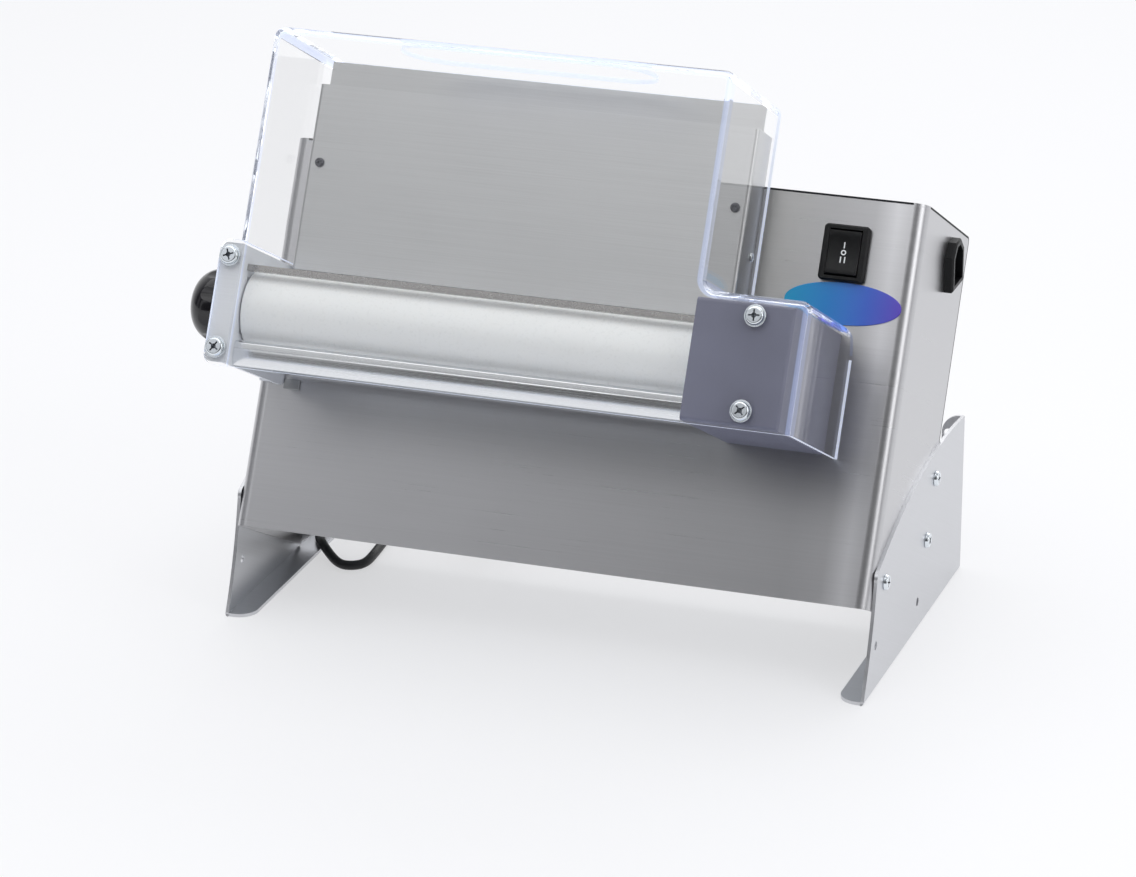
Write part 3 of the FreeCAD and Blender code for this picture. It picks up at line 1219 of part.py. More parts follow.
def clear_cover():
    """Clear guard: formed front, sides and top, open below, with the feed slot in its top."""
    rear = -COVER_REAR_GAP
    outer = prism("front", cover_corners(0.0), COVER_FRONT_V, rear)
    outer = outer.makeFillet(COVER_EDGE, front_edges(outer, COVER_FRONT_V))
    inner = prism("front", cover_corners(COVER_SHEET), COVER_FACE_V, rear + 1)
    inner = inner.makeFillet(COVER_EDGE - COVER_SHEET, front_edges(inner, COVER_FACE_V))
    left_wall = block(COVER_LEFT_X - 1, COVER_LEFT_X + COVER_SHEET + 1, COVER_FACE_V, 1,
                      COVER_BOTTOM - 1, COVER_LEFT_SHOULDER)
    shell = outer.cut([inner, left_wall])
    wing = prism("front", [
        (COVER_WIDE_LEFT_X, COVER_BOTTOM, COVER_CORNER), (COVER_LEFT_X + 3 * COVER_SHEET, COVER_BOTTOM),
        (COVER_LEFT_X + 3 * COVER_SHEET, COVER_LEFT_SHOULDER),
        (COVER_WIDE_LEFT_X, COVER_LEFT_SHOULDER, COVER_CORNER)], COVER_FRONT_V, COVER_FACE_V)
    shell = fuse([shell, wing])
    slot_r = (SLOT_REAR_V - SLOT_FRONT_V) / 2 - 0.01
    slot = prism("top", [
        (SLOT_LEFT_X, SLOT_FRONT_V, slot_r), (SLOT_RIGHT_X, SLOT_FRONT_V, slot_r),
        (SLOT_RIGHT_X, SLOT_REAR_V, slot_r), (SLOT_LEFT_X, SLOT_REAR_V, slot_r)],
        COVER_TOP - COVER_SHEET - 1, COVER_TOP + 1)
    corner_v = rear - COVER_REAR_CORNER
    corner_w = COVER_SHOULDER - COVER_REAR_CORNER
    corner = block(COVER_RIGHT_X + 0.01, COVER_WIDE_RIGHT_X + 1, corner_v, rear + 1,
                   corner_w, COVER_SHOULDER + COVER_CORNER)
    corner = corner.cut(rod(COVER_RIGHT_X, COVER_WIDE_RIGHT_X + 2, corner_v, corner_w, COVER_REAR_CORNER))
    cuts = [slot, corner]
    for x, w in COVER_SCREWS:
        cuts.append(peg(x, w, COVER_FRONT_V - 1, COVER_FACE_V + 1, COVER_SCREW_R))
    return shell.cut(cuts)


def cover_screws():
    """Large domed screws that hold the clear cover, each with its washer."""
    shank = COVER_WASHER + COVER_SHEET + GEAR_COVER_SHEET + FLANGE
    one = screw(COVER_SCREW_HEAD_R, COVER_SCREW_HEAD, COVER_SCREW_R, shank)
    washer = Part.makeCylinder(COVER_SCREW_HEAD_R - COVER_WASHER_INSET, COVER_WASHER)
    washer = washer.cut(Part.makeCylinder(COVER_SCREW_R, COVER_WASHER))
    pieces = []
    for x, w in COVER_SCREWS:
        pieces.append(aim(one, V(x, COVER_FRONT_V - COVER_WASHER, w), V(0, -1, 0)))
        pieces.append(aim(washer, V(x, COVER_FRONT_V, w), V(0, -1, 0)))
    return group(pieces)


# Chute above the rollers

def chute_screw_places():
    """Centres (x, w) of the two screws through both chute plates."""
    return [(CHUTE_LEFT_X + CHUTE_SCREW_INSET, CHUTE_SCREW_W),
            (CHUTE_RIGHT_X - CHUTE_SCREW_INSET, CHUTE_SCREW_W)]


def chute_foot_places():
    """Centres (x, w) of the screws that hold the rear chute's feet to the front panel."""
    reach = CHUTE_SHEET * 2 + CHUTE_FOOT / 2
    return [(x, w) for x in (CHUTE_LEFT_X + reach, CHUTE_RIGHT_X - reach) for w in CHUTE_FEET_W]


def front_chute():
    """Slide plate over the rear roller, hemmed at its top, with side walls back to the panel."""
    sheet = CHUTE_SHEET
    outer = block(CHUTE_LEFT_X, CHUTE_RIGHT_X, CHUTE_V, 0, CHUTE_BOTTOM, CHUTE_TOP)
    uprights = [edge for edge in outer.Edges
                if edge.BoundBox.YMax < CHUTE_V + 0.01 and edge.BoundBox.ZLength > 1]
    outer = outer.makeFillet(2 * sheet, uprights)
    hollow = block(CHUTE_LEFT_X + sheet, CHUTE_RIGHT_X - sheet, CHUTE_V + sheet, 1,
                   CHUTE_BOTTOM - 1, CHUTE_TOP + 1)
    hem = block(CHUTE_LEFT_X + 4 * sheet, CHUTE_RIGHT_X - 4 * sheet, CHUTE_V, CHUTE_V + 2 * sheet,
                CHUTE_TOP - CHUTE_HEM, CHUTE_TOP)
    shell = fuse([outer.cut(hollow), hem])
    cuts = [peg(x, w, CHUTE_V - 1, CHUTE_V + sheet + 1, CHUTE_SCREW_R) for x, w in chute_screw_places()]
    cuts.append(rod(CHUTE_RIGHT_X - 2 * sheet, CHUTE_RIGHT_X + 1, SIDE_SCREW_V, SIDE_SCREW_W, CHUTE_SCREW_R))
    cuts.append(rod(CHUTE_LEFT_X - 1, CHUTE_LEFT_X + 2 * sheet, SIDE_SCREW_V, SIDE_SCREW_W, CHUTE_SCREW_R))
    return shell.cut(cuts)


def rear_chute():
    """Higher plate behind the slide plate, with side walls and feet on the front panel."""
    sheet = CHUTE_SHEET
    left = CHUTE_LEFT_X + sheet
    right = CHUTE_RIGHT_X - sheet
    top = COVER_TOP - COVER_SHEET - REAR_CHUTE_GAP
    wall_top = BODY_HEIGHT - REAR_CHUTE_STEP
    plate = block(left, right, REAR_CHUTE_V, REAR_CHUTE_V + sheet, REAR_CHUTE_BOTTOM, top)
    pieces = [plate]
    for outer, inner in ((left, left + sheet), (right, right - sheet)):
        near, far = sorted((outer, inner))
        pieces.append(block(near, far, REAR_CHUTE_V, 0, REAR_CHUTE_BOTTOM, wall_top))
    for x, w in chute_foot_places():
        near, far = sorted((x - CHUTE_FOOT / 2, x + CHUTE_FOOT / 2))
        pieces.append(block(near, far, -sheet, 0, w - CHUTE_FOOT / 2, w + CHUTE_FOOT / 2))
    through = (REAR_CHUTE_V - 1, REAR_CHUTE_V + sheet + 1)
    cuts = [peg(x, w, *through, CHUTE_SCREW_R) for x, w in chute_screw_places()]
    cuts += [peg(x, w, -sheet - 1, 1, CHUTE_SCREW_R) for x, w in chute_foot_places()]
    cuts.append(rod(left - 1, left + sheet + 1, SIDE_SCREW_V, SIDE_SCREW_W, CHUTE_SCREW_R))
    cuts.append(rod(right - sheet - 1, right + 1, SIDE_SCREW_V, SIDE_SCREW_W, CHUTE_SCREW_R))
    return fuse(pieces).cut(cuts)


def chute_screws():
    """Screws through the chute plates, their side walls and their feet."""
    long_shank = REAR_CHUTE_V + CHUTE_SHEET - CHUTE_V + CHUTE_SCREW_REACH
    front = screw(CHUTE_SCREW_HEAD_R, CHUTE_SCREW_HEAD, CHUTE_SCREW_R, long_shank)
    short_shank = 2 * CHUTE_SHEET + CHUTE_SHORT_REACH
    short = screw(CHUTE_SCREW_HEAD_R, CHUTE_SHORT_HEAD, CHUTE_SCREW_R, short_shank)
    screws = [aim(front, V(x, CHUTE_V, w), V(0, -1, 0)) for x, w in chute_screw_places()]
    screws += [aim(short, V(x, -CHUTE_SHEET, w), V(0, -1, 0)) for x, w in chute_foot_places()]
    screws.append(aim(short, V(CHUTE_RIGHT_X, SIDE_SCREW_V, SIDE_SCREW_W), V(1, 0, 0)))
    screws.append(aim(short, V(CHUTE_LEFT_X, SIDE_SCREW_V, SIDE_SCREW_W), V(-1, 0, 0)))
    return group(screws)


def chute_spacers():
    """Short tubes between the two chute plates, round their screws."""
    tubes = []
    for x, w in chute_screw_places():
        tube = peg(x, w, CHUTE_V + CHUTE_SHEET, REAR_CHUTE_V, CHUTE_SPACER_R)
        tubes.append(tube.cut(peg(x, w, CHUTE_V, REAR_CHUTE_V + 1, CHUTE_SCREW_R)))
    return group(tubes)


# Gearmotor

def gearbox_bolt_places():
    """Centres (x, v) of the bolts through the gearbox's foot and the base plate."""
    columns = (GEARBOX_X + GEARBOX_BOLT_INSET_X, GEARBOX_X + GEARBOX_LENGTH - GEARBOX_BOLT_INSET_X)
    reach = GEARBOX_FOOT_HALF - GEARBOX_BOLT_INSET_V
    rows = (MOTOR_V - reach, MOTOR_V + reach)
    return [(x, v) for x in columns for v in rows]


def gearbox_section(extra):
    """Side outline of the gearbox as a solid one millimetre long: two rounds and their tangents."""
    nose = GEARBOX_NOSE_R + extra
    body = GEARBOX_BODY_R + extra
    dv = MOTOR_V - DRIVE_AXIS_V
    dw = MOTOR_W - AXIS_W
    lean_angle = math.atan2(dw, dv)
    spread = math.acos((nose - body) / math.hypot(dv, dw))
    corners = []
    for sign in (1, -1):
        angle = lean_angle + sign * spread
        corners.append([(axis_v + r * math.cos(angle), axis_w + r * math.sin(angle))
                        for axis_v, axis_w, r in ((DRIVE_AXIS_V, AXIS_W, nose), (MOTOR_V, MOTOR_W, body))])
    return corners[0] + corners[1][::-1], nose, body


def gearbox_solid(x0, x1, extra):
    """Gearbox outline between two x values."""
    corners, nose, body = gearbox_section(extra)
    return fuse([prism("side", corners, x0, x1), rod(x0, x1, DRIVE_AXIS_V, AXIS_W, nose),
                 rod(x0, x1, MOTOR_V, MOTOR_W, body)])


def gearbox_housing():
    """Cast gearbox with its foot on the base plate and a boss round the output shaft."""
    x1 = GEARBOX_X + GEARBOX_LENGTH
    base = BASE_RECESS + BASE_SHEET
    boss = rod(GEARBOX_X - GEARBOX_BOSS, GEARBOX_X, DRIVE_AXIS_V, AXIS_W,
               OUTPUT_SHAFT_R + GEARBOX_BOSS_WALL)
    footing = block(GEARBOX_X, x1, MOTOR_V - GEARBOX_FOOT_HALF, MOTOR_V + GEARBOX_FOOT_HALF,
                    base, base + GEARBOX_FOOT)
    web_x = (GEARBOX_X + x1 - GEARBOX_WEB) / 2
    web = block(web_x, web_x + GEARBOX_WEB, MOTOR_V - GEARBOX_WEB_HALF, MOTOR_V + GEARBOX_WEB_HALF,
                base, MOTOR_W)
    whole = fuse([gearbox_solid(GEARBOX_X, x1, 0.0), boss, footing, web])
    cuts = [rod(GEARBOX_X - GEARBOX_BOSS - 1, GEARBOX_X + GEARBOX_SHAFT_SEAT + 1, DRIVE_AXIS_V, AXIS_W,
                OUTPUT_SHAFT_R + RUN_GAP)]
    for x, v in gearbox_bolt_places():
        cuts.append(Part.makeCylinder(GEARBOX_BOLT_R, GEARBOX_FOOT + 2, V(x, v, base - 1)))
    return whole.cut(cuts)


def gearbox_lid():
    """Lid on the outer side of the gearbox."""
    x0 = GEARBOX_X + GEARBOX_LENGTH
    return gearbox_solid(x0, x0 + GEARBOX_LID, -GEARBOX_LID_INSET)


def gearbox_bolts():
    """Bolts through the gearbox's foot, with their nuts under the base plate."""
    base = BASE_RECESS + BASE_SHEET
    length = GEARBOX_FOOT + BASE_SHEET + GEARBOX_BOLT_TAIL
    head_r = GEARBOX_BOLT_R + GEARBOX_NUT_WALL
    bolts = []
    for x, v in gearbox_bolt_places():
        bolt = Part.makeCylinder(GEARBOX_BOLT_R, length, V(x, v, BASE_RECESS - GEARBOX_BOLT_TAIL))
        head = Part.makeCylinder(head_r, GEARBOX_BOLT_HEAD, V(x, v, base + GEARBOX_FOOT))
        nut = Part.makeCylinder(head_r, GEARBOX_NUT, V(x, v, BASE_RECESS - GEARBOX_NUT))
        bolts.append(fuse([bolt, head, nut]))
    return group(bolts)


def output_shaft():
    """Output shaft of the gearbox with the drive gear's seat."""
    return rod(GEAR_X - OUTPUT_SHAFT_TAIL, GEARBOX_X + GEARBOX_SHAFT_SEAT, DRIVE_AXIS_V, AXIS_W,
               OUTPUT_SHAFT_R)


def motor_housing():
    """Finned motor body with plain end shields, flanged to the gearbox."""
    x0 = GEARBOX_X - MOTOR_LENGTH
    core = rod(x0, GEARBOX_X, MOTOR_V, MOTOR_W, MOTOR_R)
    shields = [rod(x0, x0 + MOTOR_SHIELD, MOTOR_V, MOTOR_W, MOTOR_FIN_R),
               rod(GEARBOX_X - MOTOR_SHIELD, GEARBOX_X, MOTOR_V, MOTOR_W, MOTOR_FIN_R)]
    fin = block(x0, GEARBOX_X, MOTOR_V - MOTOR_FIN_WIDTH / 2, MOTOR_V + MOTOR_FIN_WIDTH / 2,
                MOTOR_W, MOTOR_W + MOTOR_FIN_R - 0.5)
    fins = []
    for index in range(MOTOR_FINS):
        turned = fin.copy()
        turned.rotate(V(0, MOTOR_V, MOTOR_W), V(1, 0, 0), 360.0 * index / MOTOR_FINS)
        fins.append(turned)
    whole = fuse([core] + shields + fins)
    seat = x0 + MOTOR_SHAFT_SEAT + FAN_DISC
    return whole.cut(rod(x0 - 1, seat, MOTOR_V, MOTOR_W, MOTOR_SHAFT_R + RUN_GAP))


def motor_fan():
    """Fan on the tail of the motor shaft."""
    x0 = GEARBOX_X - MOTOR_LENGTH
    start = x0 - FAN_STANDOFF - FAN_WIDTH
    end = start + FAN_WIDTH
    half = FAN_DISC / 2
    tail = rod(start - FAN_DISC, x0 + MOTOR_SHAFT_SEAT, MOTOR_V, MOTOR_W, MOTOR_SHAFT_R)
    hub = rod(start, end, MOTOR_V, MOTOR_W, MOTOR_SHAFT_R + FAN_HUB_WALL)
    disc = rod(end - FAN_DISC, end, MOTOR_V, MOTOR_W, FAN_R - FAN_DISC)
    blade = block(start, end - half, MOTOR_V - half, MOTOR_V + half, MOTOR_W, MOTOR_W + FAN_R)
    blades = []
    for index in range(FAN_BLADES):
        turned = blade.copy()
        turned.rotate(V(0, MOTOR_V, MOTOR_W), V(1, 0, 0), 360.0 * index / FAN_BLADES)
        blades.append(turned)
    return fuse([tail, hub, disc] + blades)


def motor_fan_cover():
    """Pressed cup over the fan with air slots in its end."""
    x0 = GEARBOX_X - MOTOR_LENGTH
    start = x0 - FAN_COVER_LENGTH
    cup = rod(start, x0, MOTOR_V, MOTOR_W, FAN_COVER_R)
    rim = [edge for edge in cup.Edges if edge.BoundBox.XMax < start + 0.01]
    cup = cup.makeFillet(FAN_COVER_EDGE, rim)
    inner = rod(start + FAN_COVER_SHEET, x0 + 1, MOTOR_V, MOTOR_W, FAN_COVER_R - FAN_COVER_SHEET)
    inner_rim = [edge for edge in inner.Edges if edge.BoundBox.XMax < start + FAN_COVER_SHEET + 0.01]
    cuts = [inner.makeFillet(FAN_COVER_EDGE - FAN_COVER_SHEET, inner_rim)]
    for step in (-2, -1, 0, 1, 2):
        offset = step * FAN_SLOT_PITCH
        half = math.sqrt(FAN_GRILLE_R ** 2 - offset ** 2)
        cuts.append(block(start - 1, start + FAN_COVER_SHEET + 1, MOTOR_V - half, MOTOR_V + half,
                          MOTOR_W + offset - FAN_SLOT_HALF, MOTOR_W + offset + FAN_SLOT_HALF))
    return cup.cut(cuts)


# Electrical pieces

def clip_screw_place():
    """Centre (x, w) of the screw that holds the capacitor's clip."""
    return CAPACITOR_X + CAPACITOR_LENGTH / 2, CAPACITOR_W + CAPACITOR_R + CLIP_SCREW_RISE


def clip_hole():
    """Hole in the front panel for the capacitor clip's screw."""
    return peg(*clip_screw_place(), -1, BODY_SHEET + 1, CLIP_SCREW_R)


def run_capacitor():
    """Motor capacitor: a can with a terminal cap."""
    can = rod(CAPACITOR_X, CAPACITOR_X + CAPACITOR_LENGTH, CAPACITOR_V, CAPACITOR_W, CAPACITOR_R)
    ends = [edge for edge in can.Edges if edge.Curve.TypeId == "Part::GeomCircle"]
    can = can.makeFillet(CAPACITOR_EDGE, ends)
    end = CAPACITOR_X + CAPACITOR_LENGTH
    cap = rod(end - 1.0, end + CAPACITOR_CAP, CAPACITOR_V, CAPACITOR_W, CAPACITOR_CAP_R)
    return fuse([can, cap])


def capacitor_clip():
    """Bent band round the capacitor, screwed to the inside of the front panel."""
    x0 = CAPACITOR_X + CAPACITOR_LENGTH / 2 - CLIP_WIDTH / 2
    x1 = x0 + CLIP_WIDTH
    near = BODY_SHEET
    outer_r = CAPACITOR_R + CLIP_SHEET
    band = rod(x0, x1, CAPACITOR_V, CAPACITOR_W, outer_r)
    saddle = block(x0, x1, near, CAPACITOR_V, CAPACITOR_W - outer_r, CAPACITOR_W + outer_r)
    tab = block(x0, x1, near, near + CLIP_SHEET, CAPACITOR_W, CAPACITOR_W + outer_r + CLIP_TAB)
    shell = fuse([band, saddle, tab])
    hollow = block(x0 - 1, x1 + 1, near + CLIP_SHEET, CAPACITOR_V, CAPACITOR_W - CAPACITOR_R,
                   CAPACITOR_W + CAPACITOR_R)
    hole = clip_hole()
    screw_hole = hole.copy()
    screw_hole.translate(V(0, BODY_SHEET, 0))
    return shell.cut([rod(x0 - 1, x1 + 1, CAPACITOR_V, CAPACITOR_W, CAPACITOR_R), hollow, screw_hole])


def control_box():
    """Closed terminal box on the base plate, with its lid rim."""
    base = BASE_RECESS + BASE_SHEET
    body = block(BOX_X, BOX_X + BOX_WIDTH, BOX_V, BOX_V + BOX_DEPTH, base, base + BOX_HEIGHT)
    uprights = [edge for edge in body.Edges if edge.BoundBox.ZLength > 1]
    body = body.makeFillet(BOX_EDGE, uprights)
    lid = block(BOX_X - BOX_LID_RIM, BOX_X + BOX_WIDTH + BOX_LID_RIM,
                BOX_V - BOX_LID_RIM, BOX_V + BOX_DEPTH + BOX_LID_RIM,
                base + BOX_HEIGHT, base + BOX_HEIGHT + BOX_LID)
    return fuse([body, lid])


def switch_body():
    """Switch: raised bezel in front of the panel, body behind it, pocket for the rocker."""
    half_x = SWITCH_WIDTH / 2
    half_w = SWITCH_HEIGHT / 2
    bezel = prism("front", [
        (SWITCH_X - half_x, SWITCH_W - half_w, SWITCH_CORNER),
        (SWITCH_X + half_x, SWITCH_W - half_w, SWITCH_CORNER),
        (SWITCH_X + half_x, SWITCH_W + half_w, SWITCH_CORNER),
        (SWITCH_X - half_x, SWITCH_W + half_w, SWITCH_CORNER)],
        -SWITCH_RAISE, 0)
    rim = [edge for edge in bezel.Edges if edge.BoundBox.YMax < -SWITCH_RAISE + 0.01]
    bezel = bezel.makeChamfer(SWITCH_CHAMFER, rim)
    behind = block(SWITCH_X - SWITCH_BODY_WIDTH / 2, SWITCH_X + SWITCH_BODY_WIDTH / 2, 0, SWITCH_BODY_DEPTH,
                   SWITCH_W - SWITCH_BODY_HEIGHT / 2, SWITCH_W + SWITCH_BODY_HEIGHT / 2)
    pocket_half = ROCKER_HALF_X + ROCKER_GAP
    pocket = rod(SWITCH_X - pocket_half, SWITCH_X + pocket_half, 0, SWITCH_W, ROCKER_R + ROCKER_GAP)
    mouth = block(SWITCH_X - pocket_half, SWITCH_X + pocket_half, -SWITCH_RAISE - 1, 0,
                  SWITCH_W - ROCKER_R - ROCKER_GAP, SWITCH_W + ROCKER_R + ROCKER_GAP)
    pins = rod(SWITCH_X - pocket_half - ROCKER_PIN, SWITCH_X + pocket_half + ROCKER_PIN, 0, SWITCH_W,
               ROCKER_PIN_R + RUN_GAP)
    terminals = []
    for step in (-1, 0, 1):
        w = SWITCH_W + step * TERMINAL_PITCH
        terminals.append(block(SWITCH_X - TERMINAL_HALF, SWITCH_X + TERMINAL_HALF, SWITCH_BODY_DEPTH,
                               SWITCH_BODY_DEPTH + TERMINAL_LENGTH,
                               w - TERMINAL_HALF_HEIGHT, w + TERMINAL_HALF_HEIGHT))
    return fuse([bezel, behind] + terminals).cut([pocket, mouth, pins])


def switch_rocker():
    """Rocker with a hollow face, on two short pins."""
    body = rod(SWITCH_X - ROCKER_HALF_X, SWITCH_X + ROCKER_HALF_X, 0, SWITCH_W, ROCKER_R)
    keep = block(SWITCH_X - ROCKER_HALF_X, SWITCH_X + ROCKER_HALF_X, -ROCKER_FACE, ROCKER_FACE,
                 SWITCH_W - ROCKER_R, SWITCH_W + ROCKER_R)
    body = body.common(keep)
    dish = rod(SWITCH_X - ROCKER_HALF_X - 1, SWITCH_X + ROCKER_HALF_X + 1,
               -ROCKER_FACE + ROCKER_DISH - ROCKER_DISH_R, SWITCH_W, ROCKER_DISH_R)
    pins = rod(SWITCH_X - ROCKER_HALF_X - ROCKER_PIN, SWITCH_X + ROCKER_HALF_X + ROCKER_PIN, 0, SWITCH_W,
               ROCKER_PIN_R)
    return fuse([body.cut(dish), pins])


def oval_plate():
    """Plain oval plate on the front panel under the switch."""
    oval = Part.Ellipse(V(0, 0, 0), OVAL_HALF_X, OVAL_HALF_W).toShape()
    plate = Part.Face(Part.Wire([oval])).extrude(V(0, 0, OVAL_THICK))
    plate.rotate(V(0, 0, 0), V(1, 0, 0), 90)
    plate.translate(V(OVAL_X, 0, OVAL_W))
    return plate


def socket_face(grow):
    """Corners (y, z) of the socket's upright face, its top corners cut off."""
    half_y = SOCKET_WIDTH / 2 + grow
    half_z = SOCKET_HEIGHT / 2 + grow
    cut = SOCKET_CHAMFER + grow / 2
    return [
        (SOCKET_Y - half_y, SOCKET_Z - half_z), (SOCKET_Y + half_y, SOCKET_Z - half_z),
        (SOCKET_Y + half_y, SOCKET_Z + half_z - cut), (SOCKET_Y + half_y - cut, SOCKET_Z + half_z),
        (SOCKET_Y - half_y + cut, SOCKET_Z + half_z), (SOCKET_Y - half_y, SOCKET_Z + half_z - cut)]


def socket_hole():
    """Hole in the right side wall behind the socket's flange, drawn upright."""
    return prism("side", socket_face(-SOCKET_STEP), HALF_WIDTH - 5, HALF_WIDTH + 1)


def side_socket():
    """Appliance inlet on the right side: an upright housing, a well and three flat blades."""
    flange = prism("side", socket_face(0.0), HALF_WIDTH, HALF_WIDTH + SOCKET_RAISE)
    rim = [edge for edge in flange.Edges if edge.BoundBox.XMin > HALF_WIDTH + SOCKET_RAISE - 0.01]
    flange = flange.makeChamfer(SOCKET_EDGE, rim)
    behind = prism("side", socket_face(-SOCKET_STEP), HALF_WIDTH - SOCKET_BODY, HALF_WIDTH)
    floor = HALF_WIDTH - SOCKET_BODY + SOCKET_FLOOR
    well = prism("side", socket_face(-SOCKET_WALL), floor, HALF_WIDTH + SOCKET_RAISE + 1)
    blades = []
    places = ((-SOCKET_BLADE_SPACING, 0.0), (0.0, SOCKET_EARTH_RISE), (SOCKET_BLADE_SPACING, 0.0))
    for across, rise in places:
        y = SOCKET_Y + across
        z = SOCKET_Z + rise
        blades.append(block(floor - 1, HALF_WIDTH, y - SOCKET_BLADE / 2, y + SOCKET_BLADE / 2,
                            z - SOCKET_BLADE_HEIGHT / 2, z + SOCKET_BLADE_HEIGHT / 2))
    return fuse([fuse([flange, behind]).cut(well)] + blades)


# Cord

def cord_gland():
    """Cable gland on the rear panel: nut inside, collar outside, tapered cap."""
    face = BODY_DEPTH
    nut = Part.makeCylinder(GLAND_R + GLAND_HEX, GLAND_NUT, V(0, 0, -BODY_SHEET - GLAND_NUT))
    thread = Part.makeCylinder(GLAND_THREAD_R, BODY_SHEET + 1.0, V(0, 0, -BODY_SHEET - 0.5))
    collar = Part.makeCylinder(GLAND_R + GLAND_HEX, GLAND_COLLAR)
    cap = Part.makeCone(GLAND_R, CORD_R + GLAND_MOUTH_WALL, GLAND_LENGTH - GLAND_COLLAR,
                        V(0, 0, GLAND_COLLAR))
    whole = fuse([nut, thread, collar, cap])
    return aim(whole, V(GLAND_X, face, GLAND_W), V(0, 1, 0))


def gland_mouth():
    """Point and direction, upright, where the cord leaves the gland."""
    return to_upright(V(GLAND_X, GLAND_OUT_V, GLAND_W)), V(0, COS, -SIN)


def cord_route():
    """Points of the free cord, from the gland down, under the body and back to the coil."""
    start, way = gland_mouth()
    floor = CORD_FLOOR
    raised = CORD_ON_FLANGE
    return [
        start,
        start + way * 24.0,
        V(-101.0, 212.0, 14.0),
        V(-105.0, 240.0, 5.5),
        V(-121.0, 266.0, floor),
        V(-147.0, 277.0, floor),
        V(-172.0, 267.0, floor),
        V(-186.0, 243.0, floor),
        V(-187.0, 214.0, floor),
        V(-182.0, 184.0, floor),
        V(-180.0, 153.0, floor),
        V(-177.6, 125.0, floor),
        V(-176.7, 103.2, floor),
        V(-184.3, 95.1, floor),
        V(-195.3, 94.9, floor),
        V(-210.9, 110.5, raised),
        V(-230.0, 138.0, raised),
        V(-232.5, 167.0, raised),
        V(-223.0, 195.0, raised),
        V(-210.0, 223.0, raised),
        V(-203.0, 254.0, floor),
        V(-202.0, 288.0, floor),
        V(coil_side_x(), 321.0, floor),
        V(coil_side_x(), COIL_Y, floor),
    ]


def coil_side_x():
    """X of the coil's outer turn on its left side, where the cord runs into it."""
    return COIL_X - COIL_OUTER


def rounded_route(points):
    """Wire of straight runs joined by tangent arcs; it prints the radii of the arcs."""
    edges = []
    radii = []
    last = points[0]
    for before, corner, after in zip(points, points[1:], points[2:]):
        back = before - corner
        ahead = after - corner
        reach = 0.45 * min(back.Length, ahead.Length)
        back = unit(back)
        ahead = unit(ahead)
        half_turn = (math.pi - back.getAngle(ahead)) / 2
        radius = reach / math.tan(half_turn)
        middle = corner + unit(back + ahead) * (radius / math.cos(half_turn) - radius)
        start = corner + back * reach
        end = corner + ahead * reach
        edges.append(Part.LineSegment(last, start).toShape())
        edges.append(Part.Arc(start, middle, end).toShape())
        radii.append(radius)
        last = end
    edges.append(Part.LineSegment(last, points[-1]).toShape())
    print("cord radii:", ", ".join(f"{radius:.0f}" for radius in radii))
    return Part.Wire(edges)


def tube(wire, start, direction):
    """Round tube along a wire."""
    ring_wire = Part.Wire([Part.Circle(start, direction, CORD_R).toShape()])
    return wire.makePipeShell([ring_wire], True, False)


def power_cord():
    """Free stretch of the cord: gland, loop under the body, and on to the coil."""
    points = cord_route()
    wire = rounded_route(points)
    solid = tube(wire, points[0], points[1] - points[0])
    print(f"cord length {wire.Length:.0f}, volume over section {solid.Volume / (math.pi * CORD_R ** 2):.0f}")
    return solid


def arc_edge(start, tangent, end):
    """Arc that leaves start along a tangent and ends at a point."""
    chord = end - start
    along = unit(chord)
    angle = tangent.getAngle(chord)
    sideways = unit(tangent - along * tangent.dot(along))
    middle = start + chord * 0.5 + sideways * (chord.Length / 2 * math.tan(angle / 2))
    return Part.Arc(start, middle, end).toShape()


def coil_stations():
    """Half-turn stations of the coil: in on the lower layer, out again on the upper one."""
    half_turns = int(round(2 * COIL_TURNS))
    stations = []
    for count in range(2 * half_turns + 1):
        upper = count > half_turns
        inward = count if count <= half_turns + 1 else 2 * half_turns + 1 - count
        radius = COIL_OUTER - COIL_PITCH * inward / 2
        side = -1 if count % 2 == 0 else 1
        height = CORD_FLOOR + (COIL_LAYER if upper else 0.0)
        stations.append((V(COIL_X + side * radius, COIL_Y, height), V(0, -side, 0)))
    return stations


def coil_path():
    """Wire of the coil, each half turn as two arcs, with the tail that rises to the plug."""
    stations = coil_stations()
    last, tangent = stations[-1]
    plug_at = plug_mouth()
    stations.append((plug_at, tangent))
    edges = []
    for (start, way), (end, end_way) in zip(stations, stations[1:]):
        gap = end - start
        both = way + end_way
        spread = 2 * (1 - way.dot(end_way))
        if spread > 1e-6:
            reach = (-gap.dot(both) + math.sqrt(gap.dot(both) ** 2 + 2 * spread * gap.dot(gap) / 1.0))
            reach = reach / spread if both.Length > 1e-6 else gap.Length / 2
        else:
            reach = gap.dot(gap) / (4 * gap.dot(way))
        join = (start + end + (way - end_way) * reach) * 0.5
        edges.append(arc_edge(start, way, join))
        edges.append(arc_edge(end, end_way * -1, join))
    return Part.Wire(Part.__sortEdges__(edges))


def plug_mouth():
    """Point where the coil's tail enters the plug, a plug's radius above the ground."""
    last, tangent = coil_stations()[-1]
    return V(last.x, last.y, PLUG_R + PLUG_REST) + tangent * COIL_TAIL


def power_cord_coil():
    """The rest of the cord as a neat coil on the ground behind the machine."""
    wire = coil_path()
    start, way = coil_stations()[0]
    solid = tube(wire, start, way)
    samples = wire.discretize(Distance=2.0)
    skip = int(4 * CORD_R / 2.0) + 2
    gap = min(a.distanceToPoint(b) for i, a in enumerate(samples) for b in samples[i + skip:])
    print(f"coil length {wire.Length:.0f}, least gap to itself {gap - 2 * CORD_R:.2f}")
    return solid


def plug_frame(shape):
    """Plug piece drawn along +Z, laid down with its cord end at the coil's tail."""
    _, tangent = coil_stations()[-1]
    return aim(shape, plug_mouth(), tangent)


